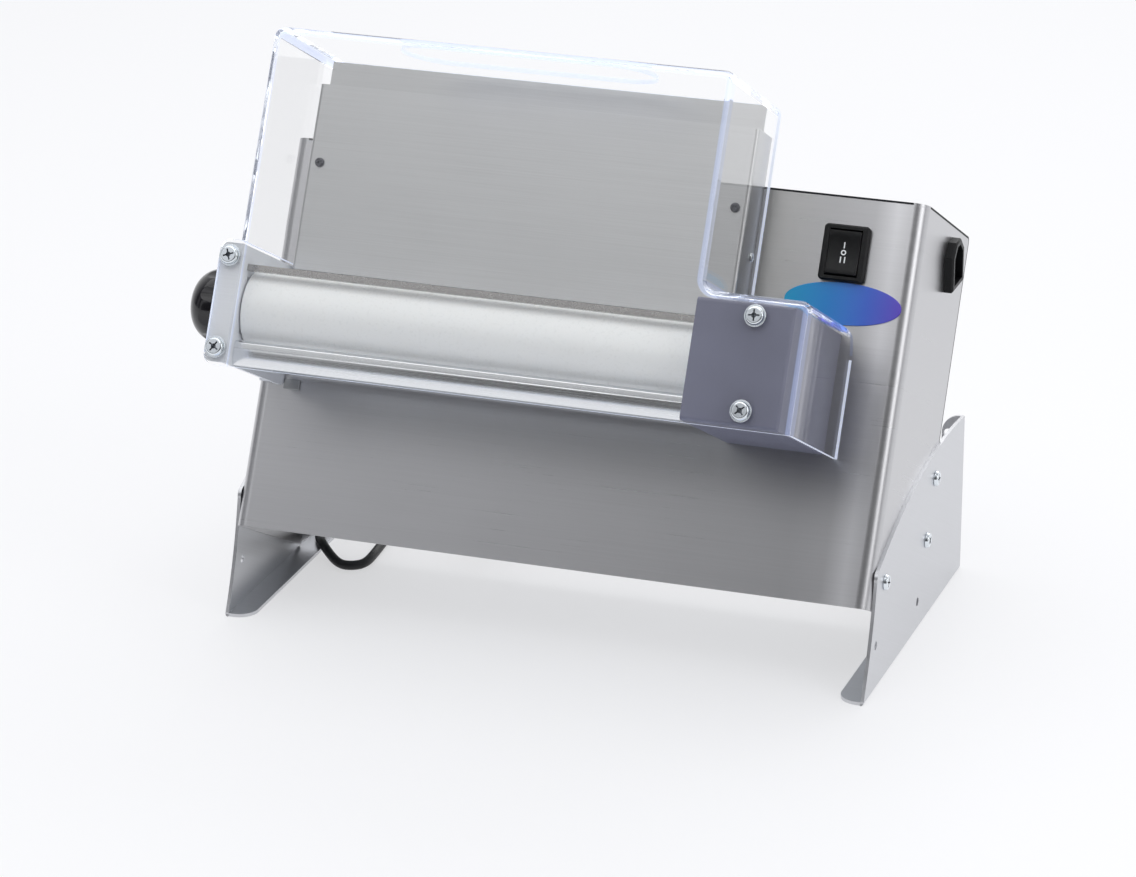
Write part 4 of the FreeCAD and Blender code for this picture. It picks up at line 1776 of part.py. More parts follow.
def plug():
    """Round moulded plug with a ribbed neck."""
    flare = PLUG_NECK_R + PLUG_NECK_FLARE
    neck = Part.makeCone(PLUG_NECK_R, flare, PLUG_NECK)
    body = Part.makeCylinder(PLUG_R, PLUG_LENGTH - PLUG_SHOULDER, V(0, 0, PLUG_NECK + PLUG_SHOULDER))
    shoulder = Part.makeCone(flare, PLUG_R, PLUG_SHOULDER, V(0, 0, PLUG_NECK))
    whole = fuse([neck, shoulder, body])
    end = PLUG_NECK + PLUG_LENGTH
    holes = [Part.makeCylinder(PLUG_PIN_R, PLUG_PIN_SEAT,
                               V(side * PLUG_PIN_SPACING / 2, 0, end - PLUG_PIN_SEAT)) for side in (-1, 1)]
    return plug_frame(whole.cut(holes))


def plug_pins():
    """The plug's two round pins."""
    end = PLUG_NECK + PLUG_LENGTH
    pins = [Part.makeCylinder(PLUG_PIN_R, PLUG_PIN_LENGTH + PLUG_PIN_SEAT,
                              V(side * PLUG_PIN_SPACING / 2, 0, end - PLUG_PIN_SEAT)) for side in (-1, 1)]
    return group([plug_frame(pin) for pin in pins])


# From the body's frame to the upright one

def lean_placement():
    """Placement that leans the body's frame back and lifts it off the ground."""
    return FreeCAD.Placement(V(0, 0, BODY_LIFT), FreeCAD.Rotation(V(1, 0, 0), -TILT))


def lean(shape):
    """Shape drawn in the body's frame, set upright in the machine."""
    leaned = shape.copy()
    leaned.Placement = lean_placement().multiply(leaned.Placement)
    return leaned


def upright_in_body(shape):
    """Shape drawn upright, seen from the body's frame."""
    moved = shape.copy()
    moved.Placement = lean_placement().inverse().multiply(moved.Placement)
    return moved


def to_upright(point):
    """Point of the body's frame in the upright frame."""
    return lean_placement().multVec(point)


LEANING = (
    front_housing, rear_cover, rear_cover_screws, base_plate, foot_screws, foot_nuts,
    left_end_plate, right_end_plate, outboard_plate, plate_pillars, panel_screws, panel_nuts,
    guard_bar, scraper_bar, discharge_slide, flour_pan,
    left_bearing_block, right_bearing_block, front_bushes, left_cap_plate, right_cap_plate, cap_spacers,
    adjusting_shaft, adjusting_knob,
    front_roller, front_roller_shaft, front_roller_gear,
    rear_roller, rear_roller_shaft, rear_roller_gear, rear_bushes, drive_gear, output_shaft,
    gear_cover, clear_cover, cover_screws,
    front_chute, rear_chute, chute_screws, chute_spacers,
    gearbox_housing, gearbox_lid, gearbox_bolts, motor_housing, motor_fan, motor_fan_cover,
    run_capacitor, capacitor_clip, control_box,
    switch_body, switch_rocker, oval_plate, cord_gland,
)


def build():
    """Every piece by name, in the working frame."""
    pieces = {make.__name__: lean(make()) for make in LEANING}
    pieces["left_foot"] = foot(-1)
    pieces["right_foot"] = foot(1)
    pieces["side_socket"] = side_socket()
    cord = {make.__name__: make() for make in (power_cord, power_cord_coil, plug, plug_pins)}
    return pieces, cord


def main():
    """Build the pieces, move them to the footprint's middle and write one file for each."""
    pieces, cord = build()
    box = FreeCAD.BoundBox()
    for shape in pieces.values():
        box.add(shape.optimalBoundingBox(False))
    shift = V(-box.Center.x, -box.Center.y, -box.ZMin)
    print(f"size {box.XLength:.2f} x {box.YLength:.2f} x {box.ZLength:.2f}, shift {shift}")
    print("route in metres:", [tuple(round((c + s) / 1000, 5) for c, s in zip(p, shift))
                               for p in cord_route()])
    for name, shape in {**pieces, **cord}.items():
        shape.translate(shift)
        if not shape.isValid():
            print("not valid:", name)
        shape.exportStep(f"parts/{name}.step")
    print(len(pieces) + len(cord), "nodes")


main()
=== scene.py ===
"""Looks of a motor driven dough roller: finishes, cord, and the fine pieces on its CAD solids.

Everything is in metres, in the CAD model's frame: +X to the machine's right, +Y to its rear, +Z up. The
body leans back, so its pieces are drawn in the leaning frame (x, v, w), in millimetres, where v runs
square into the front panel and w runs up it, and LEAN sets them in place.
"""
from __future__ import annotations

import json
import logging
import math
from dataclasses import dataclass
from enum import Enum
from typing import Sequence

import bmesh
import bpy
from mathutils import Matrix, Vector

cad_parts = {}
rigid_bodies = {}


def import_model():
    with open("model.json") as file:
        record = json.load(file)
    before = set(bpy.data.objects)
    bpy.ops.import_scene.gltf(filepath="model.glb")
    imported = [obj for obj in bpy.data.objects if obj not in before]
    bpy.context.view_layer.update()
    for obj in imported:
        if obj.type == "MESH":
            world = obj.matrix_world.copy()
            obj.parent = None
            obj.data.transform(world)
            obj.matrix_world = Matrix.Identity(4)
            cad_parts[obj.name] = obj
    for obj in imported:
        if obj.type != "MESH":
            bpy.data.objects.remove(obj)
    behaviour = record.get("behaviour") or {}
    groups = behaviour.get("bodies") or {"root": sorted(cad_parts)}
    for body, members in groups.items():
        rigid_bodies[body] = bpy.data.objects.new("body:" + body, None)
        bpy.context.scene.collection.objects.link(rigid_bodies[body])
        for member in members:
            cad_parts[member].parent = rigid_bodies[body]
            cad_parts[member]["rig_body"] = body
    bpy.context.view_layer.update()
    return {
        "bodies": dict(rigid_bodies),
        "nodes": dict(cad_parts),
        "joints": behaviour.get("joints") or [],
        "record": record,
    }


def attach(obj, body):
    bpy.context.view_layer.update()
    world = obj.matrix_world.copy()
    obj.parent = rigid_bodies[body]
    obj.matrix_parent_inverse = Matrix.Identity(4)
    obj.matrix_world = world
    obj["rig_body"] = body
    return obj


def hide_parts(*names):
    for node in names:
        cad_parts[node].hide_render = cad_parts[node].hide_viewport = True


LOG = logging.getLogger("dough_roller")

MM = 0.001
TILT = math.radians(27.5)
SHIFT = (0.00625, -0.093086, 0.0665)
LEAN = Matrix.Translation(SHIFT) @ Matrix.Rotation(-TILT, 4, "X")


def linear(hex_colour: str, alpha: float = 1.0) -> tuple[float, float, float, float]:
    """Turn an sRGB hex colour into linear values.

    Args:
        hex_colour: Six hex digits with a leading #.
        alpha: Fourth value of the result.

    Returns:
        Red, green, blue and alpha, as shader sockets take them.
    """
    values = [int(hex_colour[start:start + 2], 16) / 255 for start in (1, 3, 5)]
    red, green, blue = [v / 12.92 if v <= 0.04045 else ((v + 0.055) / 1.055) ** 2.4 for v in values]
    return red, green, blue, alpha


def add(tree: bpy.types.NodeTree, kind: str, inputs: dict | None = None,
        **settings: object) -> bpy.types.Node:
    """Add a node with its settings and links.

    Args:
        tree: Node tree that gets the node.
        kind: Blender's name of the node type.
        inputs: Values or output sockets by input name or number.
        settings: Properties of the node.

    Returns:
        The new node.
    """
    node = tree.nodes.new(kind)
    for name, value in settings.items():
        setattr(node, name, value)
    for name, value in (inputs or {}).items():
        if isinstance(value, bpy.types.NodeSocket):
            tree.links.new(value, node.inputs[name])
        else:
            node.inputs[name].default_value = value
    return node


def ramp(tree: bpy.types.NodeTree, factor: bpy.types.NodeSocket,
         stops: Sequence[tuple[float, str | float]]) -> bpy.types.NodeSocket:
    """Colour ramp over a factor.

    Args:
        tree: Node tree that gets the ramp.
        factor: Socket that drives it.
        stops: Positions with hex colours, or with plain grey levels, in rising order.

    Returns:
        The ramp's colour socket.
    """
    node = add(tree, "ShaderNodeValToRGB", {"Fac": factor})
    elements = node.color_ramp.elements
    shades = [(position, linear(tone) if isinstance(tone, str) else (tone, tone, tone, 1.0))
              for position, tone in stops]
    for element, (position, shade) in zip(elements, (shades[0], shades[-1])):
        element.position = position
        element.color = shade
    for position, shade in shades[1:-1]:
        elements.new(position).color = shade
    return node.outputs["Color"]


class Grain(Enum):
    """Which way the polishing lines of a steel sheet run, as the pattern's cell size in millimetres."""

    LEVEL = (160.0, 160.0, 0.9)
    ACROSS = (160.0, 1.1, 1.1)


@dataclass(frozen=True)
class Bench:
    """What a finish works on: the node tree, its shader, Object coordinates and the output node."""

    tree: bpy.types.NodeTree
    shader: bpy.types.Node
    place: bpy.types.NodeSocket
    output: bpy.types.Node

    def set(self, values: dict[str, object]) -> None:
        """Set the shader's own sockets.

        Args:
            values: Value by socket name.
        """
        for name, value in values.items():
            self.shader.inputs[name].default_value = value


@dataclass(frozen=True)
class Finish:
    """A finish: its name, its colour and how it takes the light."""

    name: str
    colour: str
    roughness: float = 0.4
    metallic: float = 0.0

    def material(self) -> bpy.types.Material:
        """Make the material, or take the one that is there already.

        Returns:
            The material with its node tree.
        """
        known = bpy.data.materials.get(self.name)
        if known:
            return known
        made = bpy.data.materials.new(self.name)
        made.use_nodes = True
        made.diffuse_color = linear(self.colour)
        tree = made.node_tree
        tree.nodes.clear()
        shader = add(tree, "ShaderNodeBsdfPrincipled", {
            "Base Color": linear(self.colour), "Roughness": self.roughness, "Metallic": self.metallic})
        output = add(tree, "ShaderNodeOutputMaterial", {"Surface": shader.outputs["BSDF"]})
        place = add(tree, "ShaderNodeTexCoord").outputs["Object"]
        self.dress(Bench(tree, shader, place, output))
        return made

    def dress(self, bench: Bench) -> None:
        """Add the finish's own pattern to the tree.

        Args:
            bench: The material's nodes.
        """
        self.mottle(bench, 6.0, 0.06, 0.0)

    def mottle(self, bench: Bench, cell: float, spread: float, height: float) -> None:
        """Uneven roughness, and a fine relief where a height is given.

        Args:
            bench: The material's nodes.
            cell: Size of a cell in millimetres.
            spread: How far the roughness goes up and down.
            height: Height of the relief in millimetres.
        """
        tree, shader, place = bench.tree, bench.shader, bench.place
        noise = add(tree, "ShaderNodeTexNoise", {"Vector": place, "Scale": 1 / (cell * MM), "Detail": 3.0})
        value = noise.outputs["Fac"]
        rough = add(tree, "ShaderNodeMapRange", {
            "Value": value, "From Min": 0.3, "From Max": 0.7,
            "To Min": max(0.02, self.roughness - spread), "To Max": self.roughness + spread})
        tree.links.new(rough.outputs["Result"], shader.inputs["Roughness"])
        if height:
            bump = add(tree, "ShaderNodeBump", {"Height": value, "Distance": height * MM, "Strength": 0.6})
            tree.links.new(bump.outputs["Normal"], shader.inputs["Normal"])


@dataclass(frozen=True)
class BrushedSteel(Finish):
    """Stainless sheet brushed one way: long fine lines, and soft clouds where hands have wiped it."""

    roughness: float = 0.3
    metallic: float = 1.0
    grain: Grain = Grain.LEVEL
    contrast: float = 0.10
    painted_light_stops: tuple[tuple[float, float], ...] = ()
    cloud: float = 90.0
    cloud_share: float = 0.35
    spread: tuple[float, float] = (-0.05, 0.08)
    relief: float = 0.05

    def dress(self, bench: Bench) -> None:
        """Brushed lines in colour, roughness and relief. The lines are drawn about 1 mm apart, because
        real ones, a tenth of that, are too fine to show.

        Args:
            bench: The material's nodes.
        """
        tree, shader, place = bench.tree, bench.shader, bench.place
        size = [value * MM for value in self.grain.value]
        run = add(tree, "ShaderNodeMapping", {
            "Vector": place, "Rotation": (-TILT, 0.0, 0.0), "Scale": size}, vector_type="TEXTURE")
        lines = add(tree, "ShaderNodeTexNoise", {
            "Vector": run.outputs["Vector"], "Scale": 1.0, "Detail": 4.0, "Roughness": 0.75}).outputs["Fac"]
        clouds = add(tree, "ShaderNodeTexNoise", {
            "Vector": place, "Scale": 1 / (self.cloud * MM), "Detail": 2.0}).outputs["Fac"]
        both = add(tree, "ShaderNodeMath", {0: clouds, 1: self.cloud_share, 2: lines},
                   operation="MULTIPLY_ADD").outputs[0]
        shade = add(tree, "ShaderNodeMapRange", {
            "Value": both, "From Min": 0.35, "From Max": 1.0,
            "To Min": 1.0 - self.contrast, "To Max": 1.0 + self.contrast}).outputs["Result"]
        # Painted light: shade and highlight painted into the colour from side to side
        if self.painted_light_stops:
            shade = self.paint_light_across(bench, shade)
        tint = add(tree, "ShaderNodeVectorMath", {0: linear(self.colour)[:3], "Scale": shade},
                   operation="SCALE").outputs["Vector"]
        tree.links.new(tint, shader.inputs["Base Color"])
        rough = add(tree, "ShaderNodeMapRange", {
            "Value": both, "From Min": 0.35, "From Max": 1.0,
            "To Min": self.roughness + self.spread[0],
            "To Max": self.roughness + self.spread[1]}).outputs["Result"]
        tree.links.new(rough, shader.inputs["Roughness"])
        bump = add(tree, "ShaderNodeBump", {"Height": lines, "Distance": self.relief * MM, "Strength": 0.25})
        tree.links.new(bump.outputs["Normal"], shader.inputs["Normal"])

    def paint_light_across(self, bench: Bench, shade: bpy.types.NodeSocket) -> bpy.types.NodeSocket:
        """Painted light across a wide sheet: its brightness changes from side to side by the given stops,
        standing in for the reflections it shows.

        Args:
            bench: The material's nodes.
            shade: Brightness so far.

        Returns:
            The brightness with the change.
        """
        first, last = self.painted_light_stops[0][0], self.painted_light_stops[-1][0]
        highest = max(value for _, value in self.painted_light_stops)
        along = add(bench.tree, "ShaderNodeSeparateXYZ", {"Vector": bench.place}).outputs["X"]
        share = add(bench.tree, "ShaderNodeMapRange", {
            "Value": along, "From Min": first * MM, "From Max": last * MM}).outputs["Result"]
        stops = [((x - first) / (last - first), value / highest) for x, value in self.painted_light_stops]
        level = add(bench.tree, "ShaderNodeMath", {0: ramp(bench.tree, share, stops), 1: highest},
                    operation="MULTIPLY").outputs[0]
        return add(bench.tree, "ShaderNodeMath", {0: level, 1: shade}, operation="MULTIPLY").outputs[0]


@dataclass(frozen=True)
class PlatedSteel(Finish):
    """Bright zinc plated or turned steel: nearly clean, with a faint mottle from the bath."""

    metallic: float = 1.0

    def dress(self, bench: Bench) -> None:
        """Soft mottle a few millimetres across.

        Args:
            bench: The material's nodes.
        """
        self.mottle(bench, 4.0, 0.07, 0.01)


@dataclass(frozen=True)
class Coating(Finish):
    """Powder coat or hammer paint: an even colour with the fine orange peel that spraying leaves."""

    cell: float = 1.6
    height: float = 0.03
    gloss: float = 0.25
    shift: float = 60.0

    def dress(self, bench: Bench) -> None:
        """Orange peel at the cell size, and a slow shift of the colour.

        Args:
            bench: The material's nodes.
        """
        self.mottle(bench, self.cell, 0.05, self.height)
        bench.set({"Specular IOR Level": self.gloss})
        tree = bench.tree
        slow = add(tree, "ShaderNodeTexNoise", {
            "Vector": bench.place, "Scale": 1 / (self.shift * MM)}).outputs["Fac"]
        shade = add(tree, "ShaderNodeMapRange", {
            "Value": slow, "From Min": 0.3, "From Max": 0.7, "To Min": 0.93, "To Max": 1.07})
        tint = add(tree, "ShaderNodeVectorMath", {
            0: linear(self.colour)[:3], "Scale": shade.outputs["Result"]}, operation="SCALE")
        tree.links.new(tint.outputs["Vector"], bench.shader.inputs["Base Color"])


@dataclass(frozen=True)
class Moulding(Finish):
    """Moulded plastic: a fine spark-eroded grain, or none where it is polished, and a soft gloss."""

    cell: float = 0.9
    height: float = 0.01
    coat: float = 0.0
    depth: float = 0.0
    gloss: float = 0.5
    glow: float = 0.0
    ior: float = 1.49

    def dress(self, bench: Bench) -> None:
        """Grain at the cell size, a clear skin where it is polished, and light that sinks into pale plastic.

        Args:
            bench: The material's nodes.
        """
        self.mottle(bench, self.cell, 0.05, self.height)
        # Emission at the glow strength is a painted glow, given to the clear cover's sawn edges
        bench.set({"IOR": self.ior, "Specular IOR Level": self.gloss, "Emission Color": linear(self.colour),
                   "Emission Strength": self.glow, "Coat Weight": self.coat, "Coat Roughness": 0.08})
        if self.depth:
            bench.set({"Subsurface Weight": 0.35, "Subsurface Radius": (1.0, 0.95, 0.9),
                       "Subsurface Scale": self.depth * MM})


@dataclass(frozen=True)
class ClearSheet(Finish):
    """Clear polycarbonate, hot formed: glossy outside, with a cool blue along its edges. A sheet this thin
    hardly shifts what is behind it, so its body bends light very little and a coat gives its gloss."""

    edge_colour: str = "#d3daf4"
    ior: float = 1.04
    coat: float = 0.6
    glow: float = 0.0
    edge_from: float = 0.6
    bounces: float = 3.5
    smear: float = 40.0
    see_through: str = "#fbfbfa"

    def dress(self, bench: Bench) -> None:
        """Clear body with an edge tint. Light that comes from the lamps, off the pieces under the sheet, or
        has bounced along inside it goes straight through, so that all under it stays lit.

        Args:
            bench: The material's nodes.
        """
        tree, shader = bench.tree, bench.shader
        facing = add(tree, "ShaderNodeLayerWeight", {"Blend": 0.25}).outputs["Facing"]
        tint = ramp(tree, facing, ((self.edge_from, self.colour), (1.0, self.edge_colour)))
        tree.links.new(tint, shader.inputs["Base Color"])
        # Emission at the glow strength is a painted glow, given to the sheet's bends
        bench.set({"IOR": self.ior, "Transmission Weight": 1.0, "Coat Weight": self.coat,
                   "Coat Roughness": 0.0, "Coat IOR": 1.5,
                   "Emission Color": linear(self.edge_colour), "Emission Strength": self.glow})
        smear = add(tree, "ShaderNodeTexNoise", {
            "Vector": bench.place, "Scale": 1 / (self.smear * MM), "Detail": 3.0})
        rough = add(tree, "ShaderNodeMapRange", {
            "Value": smear.outputs["Fac"], "From Min": 0.45, "From Max": 0.75,
            "To Min": self.roughness, "To Max": self.roughness + 0.05})
        tree.links.new(rough.outputs["Result"], shader.inputs["Roughness"])
        path = add(tree, "ShaderNodeLightPath").outputs
        worn_out = add(tree, "ShaderNodeMath", {0: path["Ray Depth"], 1: self.bounces},
                       operation="GREATER_THAN").outputs[0]
        mirrored = add(tree, "ShaderNodeMath", {0: path["Is Glossy Ray"], 1: path["Is Transmission Ray"]},
                       operation="SUBTRACT").outputs[0]
        straight = worn_out
        for kind in (path["Is Shadow Ray"], path["Is Diffuse Ray"], mirrored):
            straight = add(tree, "ShaderNodeMath", {0: kind, 1: straight}, operation="MAXIMUM").outputs[0]
        see_through = add(tree, "ShaderNodeBsdfTransparent", {"Color": linear(self.see_through)})
        mix = add(tree, "ShaderNodeMixShader", {
            0: straight, 1: shader.outputs["BSDF"], 2: see_through.outputs["BSDF"]})
        tree.links.new(mix.outputs["Shader"], bench.output.inputs["Surface"])


@dataclass(frozen=True)
class ShadedPlate(Finish):
    """Plain resin-domed plate whose colour runs from teal at its left to violet blue at its right."""

    left: float = -42.5
    right: float = 42.5
    middle: float = 193.75
    stops: tuple[tuple[float, str], ...] = (
        (0.0, "#009fd2"), (0.35, "#1583cf"), (0.7, "#3962c8"), (1.0, "#5b45bd"))

    def dress(self, bench: Bench) -> None:
        """Colour by place along x, under a clear skin.

        Args:
            bench: The material's nodes.
        """
        tree = bench.tree
        along = add(tree, "ShaderNodeSeparateXYZ", {"Vector": bench.place}).outputs["X"]
        factor = add(tree, "ShaderNodeMapRange", {
            "Value": along, "From Min": (self.middle + self.left) * MM,
            "From Max": (self.middle + self.right) * MM}).outputs["Result"]
        tree.links.new(ramp(tree, factor, self.stops), bench.shader.inputs["Base Color"])
        self.mottle(bench, 12.0, 0.04, 0.0)
        bench.set({"Coat Weight": 0.3, "Coat Roughness": 0.06})


# Stainless sheet brushed one way: soft reflections, drawn out square to the lines
# Its colour carries painted light: painted shade growing to the right, and a painted highlight column beside
# the right bend
PANEL_STEEL = BrushedSteel("stainless_brushed_level", "#c6c6c8", grain=Grain.LEVEL, contrast=0.05, painted_light_stops=(
    (-234.0, 1.03), (-60.0, 0.95), (60.0, 0.86), (180.0, 0.78), (208.0, 0.85), (224.0, 1.22), (236.0, 1.0)))
BACK_STEEL = BrushedSteel("stainless_brushed_across", "#c6c6c8", grain=Grain.ACROSS)
FOOT_STEEL = BrushedSteel("stainless_brushed_foot", "#d3d4d7", grain=Grain.LEVEL, roughness=0.36,
                          contrast=0.06)
CHUTE_STEEL = BrushedSteel("stainless_brushed_chute", "#c6c7c9", grain=Grain.LEVEL, roughness=0.4)
REAR_CHUTE_STEEL = BrushedSteel("stainless_brushed_rear_chute", "#c3c4c6", grain=Grain.LEVEL, roughness=0.4)
# Brushed aluminium, nearly matt: pale, with hardly a reflection
PLATE_STEEL = BrushedSteel("aluminium_end_plate", "#e3e6ec", grain=Grain.LEVEL, roughness=0.45,
                           metallic=0.12, contrast=0.04)
# Ground bar: darker than the sheets, with a soft line of light along it
BAR_STEEL = PlatedSteel("stainless_polished_bar", "#aeacab", 0.24)
# Stainless sheet polished to a sheen: brighter and clearer than the brushed sheets
SLIDE_STEEL = BrushedSteel("stainless_polished_slide", "#dcdee4", grain=Grain.ACROSS, roughness=0.22,
                           contrast=0.05)
LIP_STEEL = BrushedSteel("stainless_polished_lip", "#e9ebee", grain=Grain.LEVEL, roughness=0.24,
                         contrast=0.04)
# Plated, turned and cut steel: cool and bright where smooth, grey where a tool has been
ZINC = PlatedSteel("zinc_plated_screw", "#e3e9ee", 0.16)
DULL_ZINC = PlatedSteel("zinc_plated_sheet", "#d9dcdf", 0.42)
TURNED_STEEL = PlatedSteel("turned_steel", "#b9babc", 0.24)
GEAR_STEEL = PlatedSteel("hobbed_steel", "#9c9da0", 0.33)
# Sprayed and cast surfaces: an even colour over a fine uneven skin
COATED_SHEET = Coating("powder_coated_sheet", "#727487", 0.42)
MOTOR_PAINT = Coating("motor_enamel", "#39444f", 0.4, cell=2.4, height=0.06)
CAST = Coating("sand_cast_aluminium", "#a3a5a7", 0.5, 0.85, cell=1.2, height=0.12)
# Turned and moulded plastics: a soft gloss, and light that sinks a little into the white ones
ROLLER_WHITE = Moulding("acetal_turned_white", "#f1f3f4", 0.3, depth=2.0, cell=2.0, height=0.004)
PHENOLIC = Moulding("phenolic_knob_black", "#141317", 0.12, coat=0.4, height=0.004, gloss=0.35)
NYLON = Moulding("nylon_black", "#0c0d0f", 0.42, gloss=0.3)
GREY_CAN = Moulding("capacitor_can_grey", "#b9bbbc", 0.3)
# Sintered bronze, porous and oiled: warm and dull
BRONZE = PlatedSteel("sintered_bronze", "#b08850", 0.42)
# Cord sheath, black and soft, and the bright pins of the plug
RUBBER = Moulding("cord_sheath_black", "#141416", 0.48, cell=1.5, height=0.02)
PIN_METAL = PlatedSteel("nickel_plated_brass", "#d5d2c8", 0.2)
# Formed polycarbonate: clear on the flat, cool blue at its bends with a painted glow along them, milky where
# it was sawn with a painted glow along the cut
CLEAR = ClearSheet("polycarbonate_clear", "#ffffff", 0.0)
CLEAR_BEND = ClearSheet("polycarbonate_bend", "#eaeffb", 0.0, edge_colour="#bac7ee", ior=1.13,
                        edge_from=0.3, glow=0.16)
CLEAR_TOP = ClearSheet("polycarbonate_top", "#ffffff", 0.0, edge_colour="#f3f6fb", ior=1.0, coat=0.0)
SAWN_CLEAR = Moulding("polycarbonate_sawn_edge", "#dfe6f7", 0.4, cell=0.6, height=0.01, depth=1.5, glow=0.35)
# Domed plate: a deep colour under a clear skin
PLATE_BLUE = ShadedPlate("domed_plate_blue", "#2a6cc0", 0.2)
# Small places: painted shade in screw recesses, blackened screws, painted marks, and painted seam shadow on
# cut sheet edges
RECESS_SHADE = PlatedSteel("screw_recess_painted_shade", "#71767d", 0.35)
SCREW_GREY = PlatedSteel("blackened_screw", "#5f6066", 0.35)
MARK_WHITE = Moulding("marking_paint_white", "#eef0f2", 0.5, cell=0.8)
SEAM_SHADE = Coating("painted_seam_shadow", "#26272a", 0.6, 0.4, cell=0.8, height=0.02)


def clear_selection() -> None:
    """Deselect everything, because operators act on all that is selected."""
    if bpy.context.object and bpy.context.object.mode != "OBJECT":
        bpy.ops.object.mode_set(mode="OBJECT")
    bpy.ops.object.select_all(action="DESELECT")


def activate(*pieces: bpy.types.Object) -> None:
    """Select only these pieces, the first one active.

    Args:
        pieces: Objects to select.
    """
    clear_selection()
    for piece in pieces:
        piece.select_set(True)
    bpy.context.view_layer.objects.active = pieces[0]


def apply_place(piece: bpy.types.Object, matrix: Matrix | None = None) -> bpy.types.Object:
    """Put a piece's place into its mesh, so that its object sits at the origin.

    Args:
        piece: The piece.
        matrix: Where it goes; its own place counts as well.

    Returns:
        The piece.
    """
    if matrix is not None:
        piece.matrix_world = matrix @ piece.matrix_world
    activate(piece)
    bpy.ops.object.transform_apply(location=True, rotation=True, scale=True)
    return piece


def use_modifier(piece: bpy.types.Object, kind: str, **settings: object) -> None:
    """Add a modifier and apply it.

    Args:
        piece: The piece.
        kind: Type of the modifier.
        settings: Its properties.
    """
    modifier = piece.modifiers.new(kind.lower(), kind)
    for name, value in settings.items():
        setattr(modifier, name, value)
    activate(piece)
    bpy.ops.object.modifier_apply(modifier=modifier.name)


def join(pieces: Sequence[bpy.types.Object], name: str) -> bpy.types.Object:
    """Join pieces into one object.

    Args:
        pieces: The pieces; the first one stays.
        name: Name of the result.

    Returns:
        The joined piece.
    """
    activate(*pieces)
    if len(pieces) > 1:
        bpy.ops.object.join()
    joined = bpy.context.object
    joined.name = name
    joined.data.name = name
    return joined


def copy_mesh(piece: bpy.types.Object, matrix: Matrix) -> bpy.types.Object:
    """Copy of a piece with a mesh of its own, set at a place.

    Args:
        piece: The model.
        matrix: Where the copy goes.

    Returns:
        The copy.
    """
    twin = bpy.data.objects.new(piece.name + "_copy", piece.data.copy())
    bpy.context.scene.collection.objects.link(twin)
    twin.matrix_world = matrix
    return apply_place(twin)


def block(size: Sequence[float], centre: Sequence[float], bevel: float = 0.0) -> bpy.types.Object:
    """Box in millimetres, its edges rounded where a bevel is given.

    Args:
        size: Lengths of its sides.
        centre: Its middle.
        bevel: Radius of its edges.

    Returns:
        The box, with its place in its mesh.
    """
    clear_selection()
    bpy.ops.mesh.primitive_cube_add(size=1, location=[c * MM for c in centre])
    box = bpy.context.object
    box.scale = [s * MM for s in size]
    apply_place(box)
    if bevel:
        use_modifier(box, "BEVEL", width=bevel * MM, segments=3)
    return box


def cylinder(radius: float, height: float, base: Sequence[float], sides: int = 32,
             bevel: float = 0.0) -> bpy.types.Object:
    """Upright cylinder in millimetres from a base point.

    Args:
        radius: Its radius.
        height: Its height.
        base: Middle of its lower face.
        sides: Number of sides.
        bevel: Radius of its rims.

    Returns:
        The cylinder, with its place in its mesh.
    """
    clear_selection()
    middle = (base[0] * MM, base[1] * MM, (base[2] + height / 2) * MM)
    bpy.ops.mesh.primitive_cylinder_add(radius=radius * MM, depth=height * MM, vertices=sides,
                                        location=middle)
    made = apply_place(bpy.context.object)
    if bevel:
        use_modifier(made, "BEVEL", width=bevel * MM, segments=3, limit_method="ANGLE")
    return made


def subtract(piece: bpy.types.Object, tool: bpy.types.Object) -> None:
    """Cut a tool out of a piece and remove the tool.

    Args:
        piece: What is cut.
        tool: What is taken away.
    """
    use_modifier(piece, "BOOLEAN", object=tool, operation="DIFFERENCE", solver="EXACT",
                 material_mode="TRANSFER")
    bpy.data.objects.remove(tool)


def smooth(piece: bpy.types.Object, degrees: float = 32.0) -> bpy.types.Object:
    """Shade a piece smooth where its faces meet at less than an angle.

    Args:
        piece: The piece.
        degrees: The angle.

    Returns:
        The piece.
    """
    activate(piece)
    bpy.ops.object.shade_smooth_by_angle(angle=math.radians(degrees))
    return piece


def finish_piece(piece: bpy.types.Object, finish: Finish | None, body: str,
                 stands_for: Sequence[str] = ()) -> bpy.types.Object:
    """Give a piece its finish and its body.

    Args:
        piece: The piece.
        finish: Its finish, or None where its faces have theirs already.
        body: The CAD body that it rides on.
        stands_for: CAD nodes that it replaces.

    Returns:
        The piece.
    """
    if finish:
        piece.data.materials.clear()
        piece.data.materials.append(finish.material())
    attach(piece, body)
    if stands_for:
        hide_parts(*stands_for)
    LOG.info("piece %s rides on %s in %s", piece.name, body, piece.data.materials[0].name)
    return piece


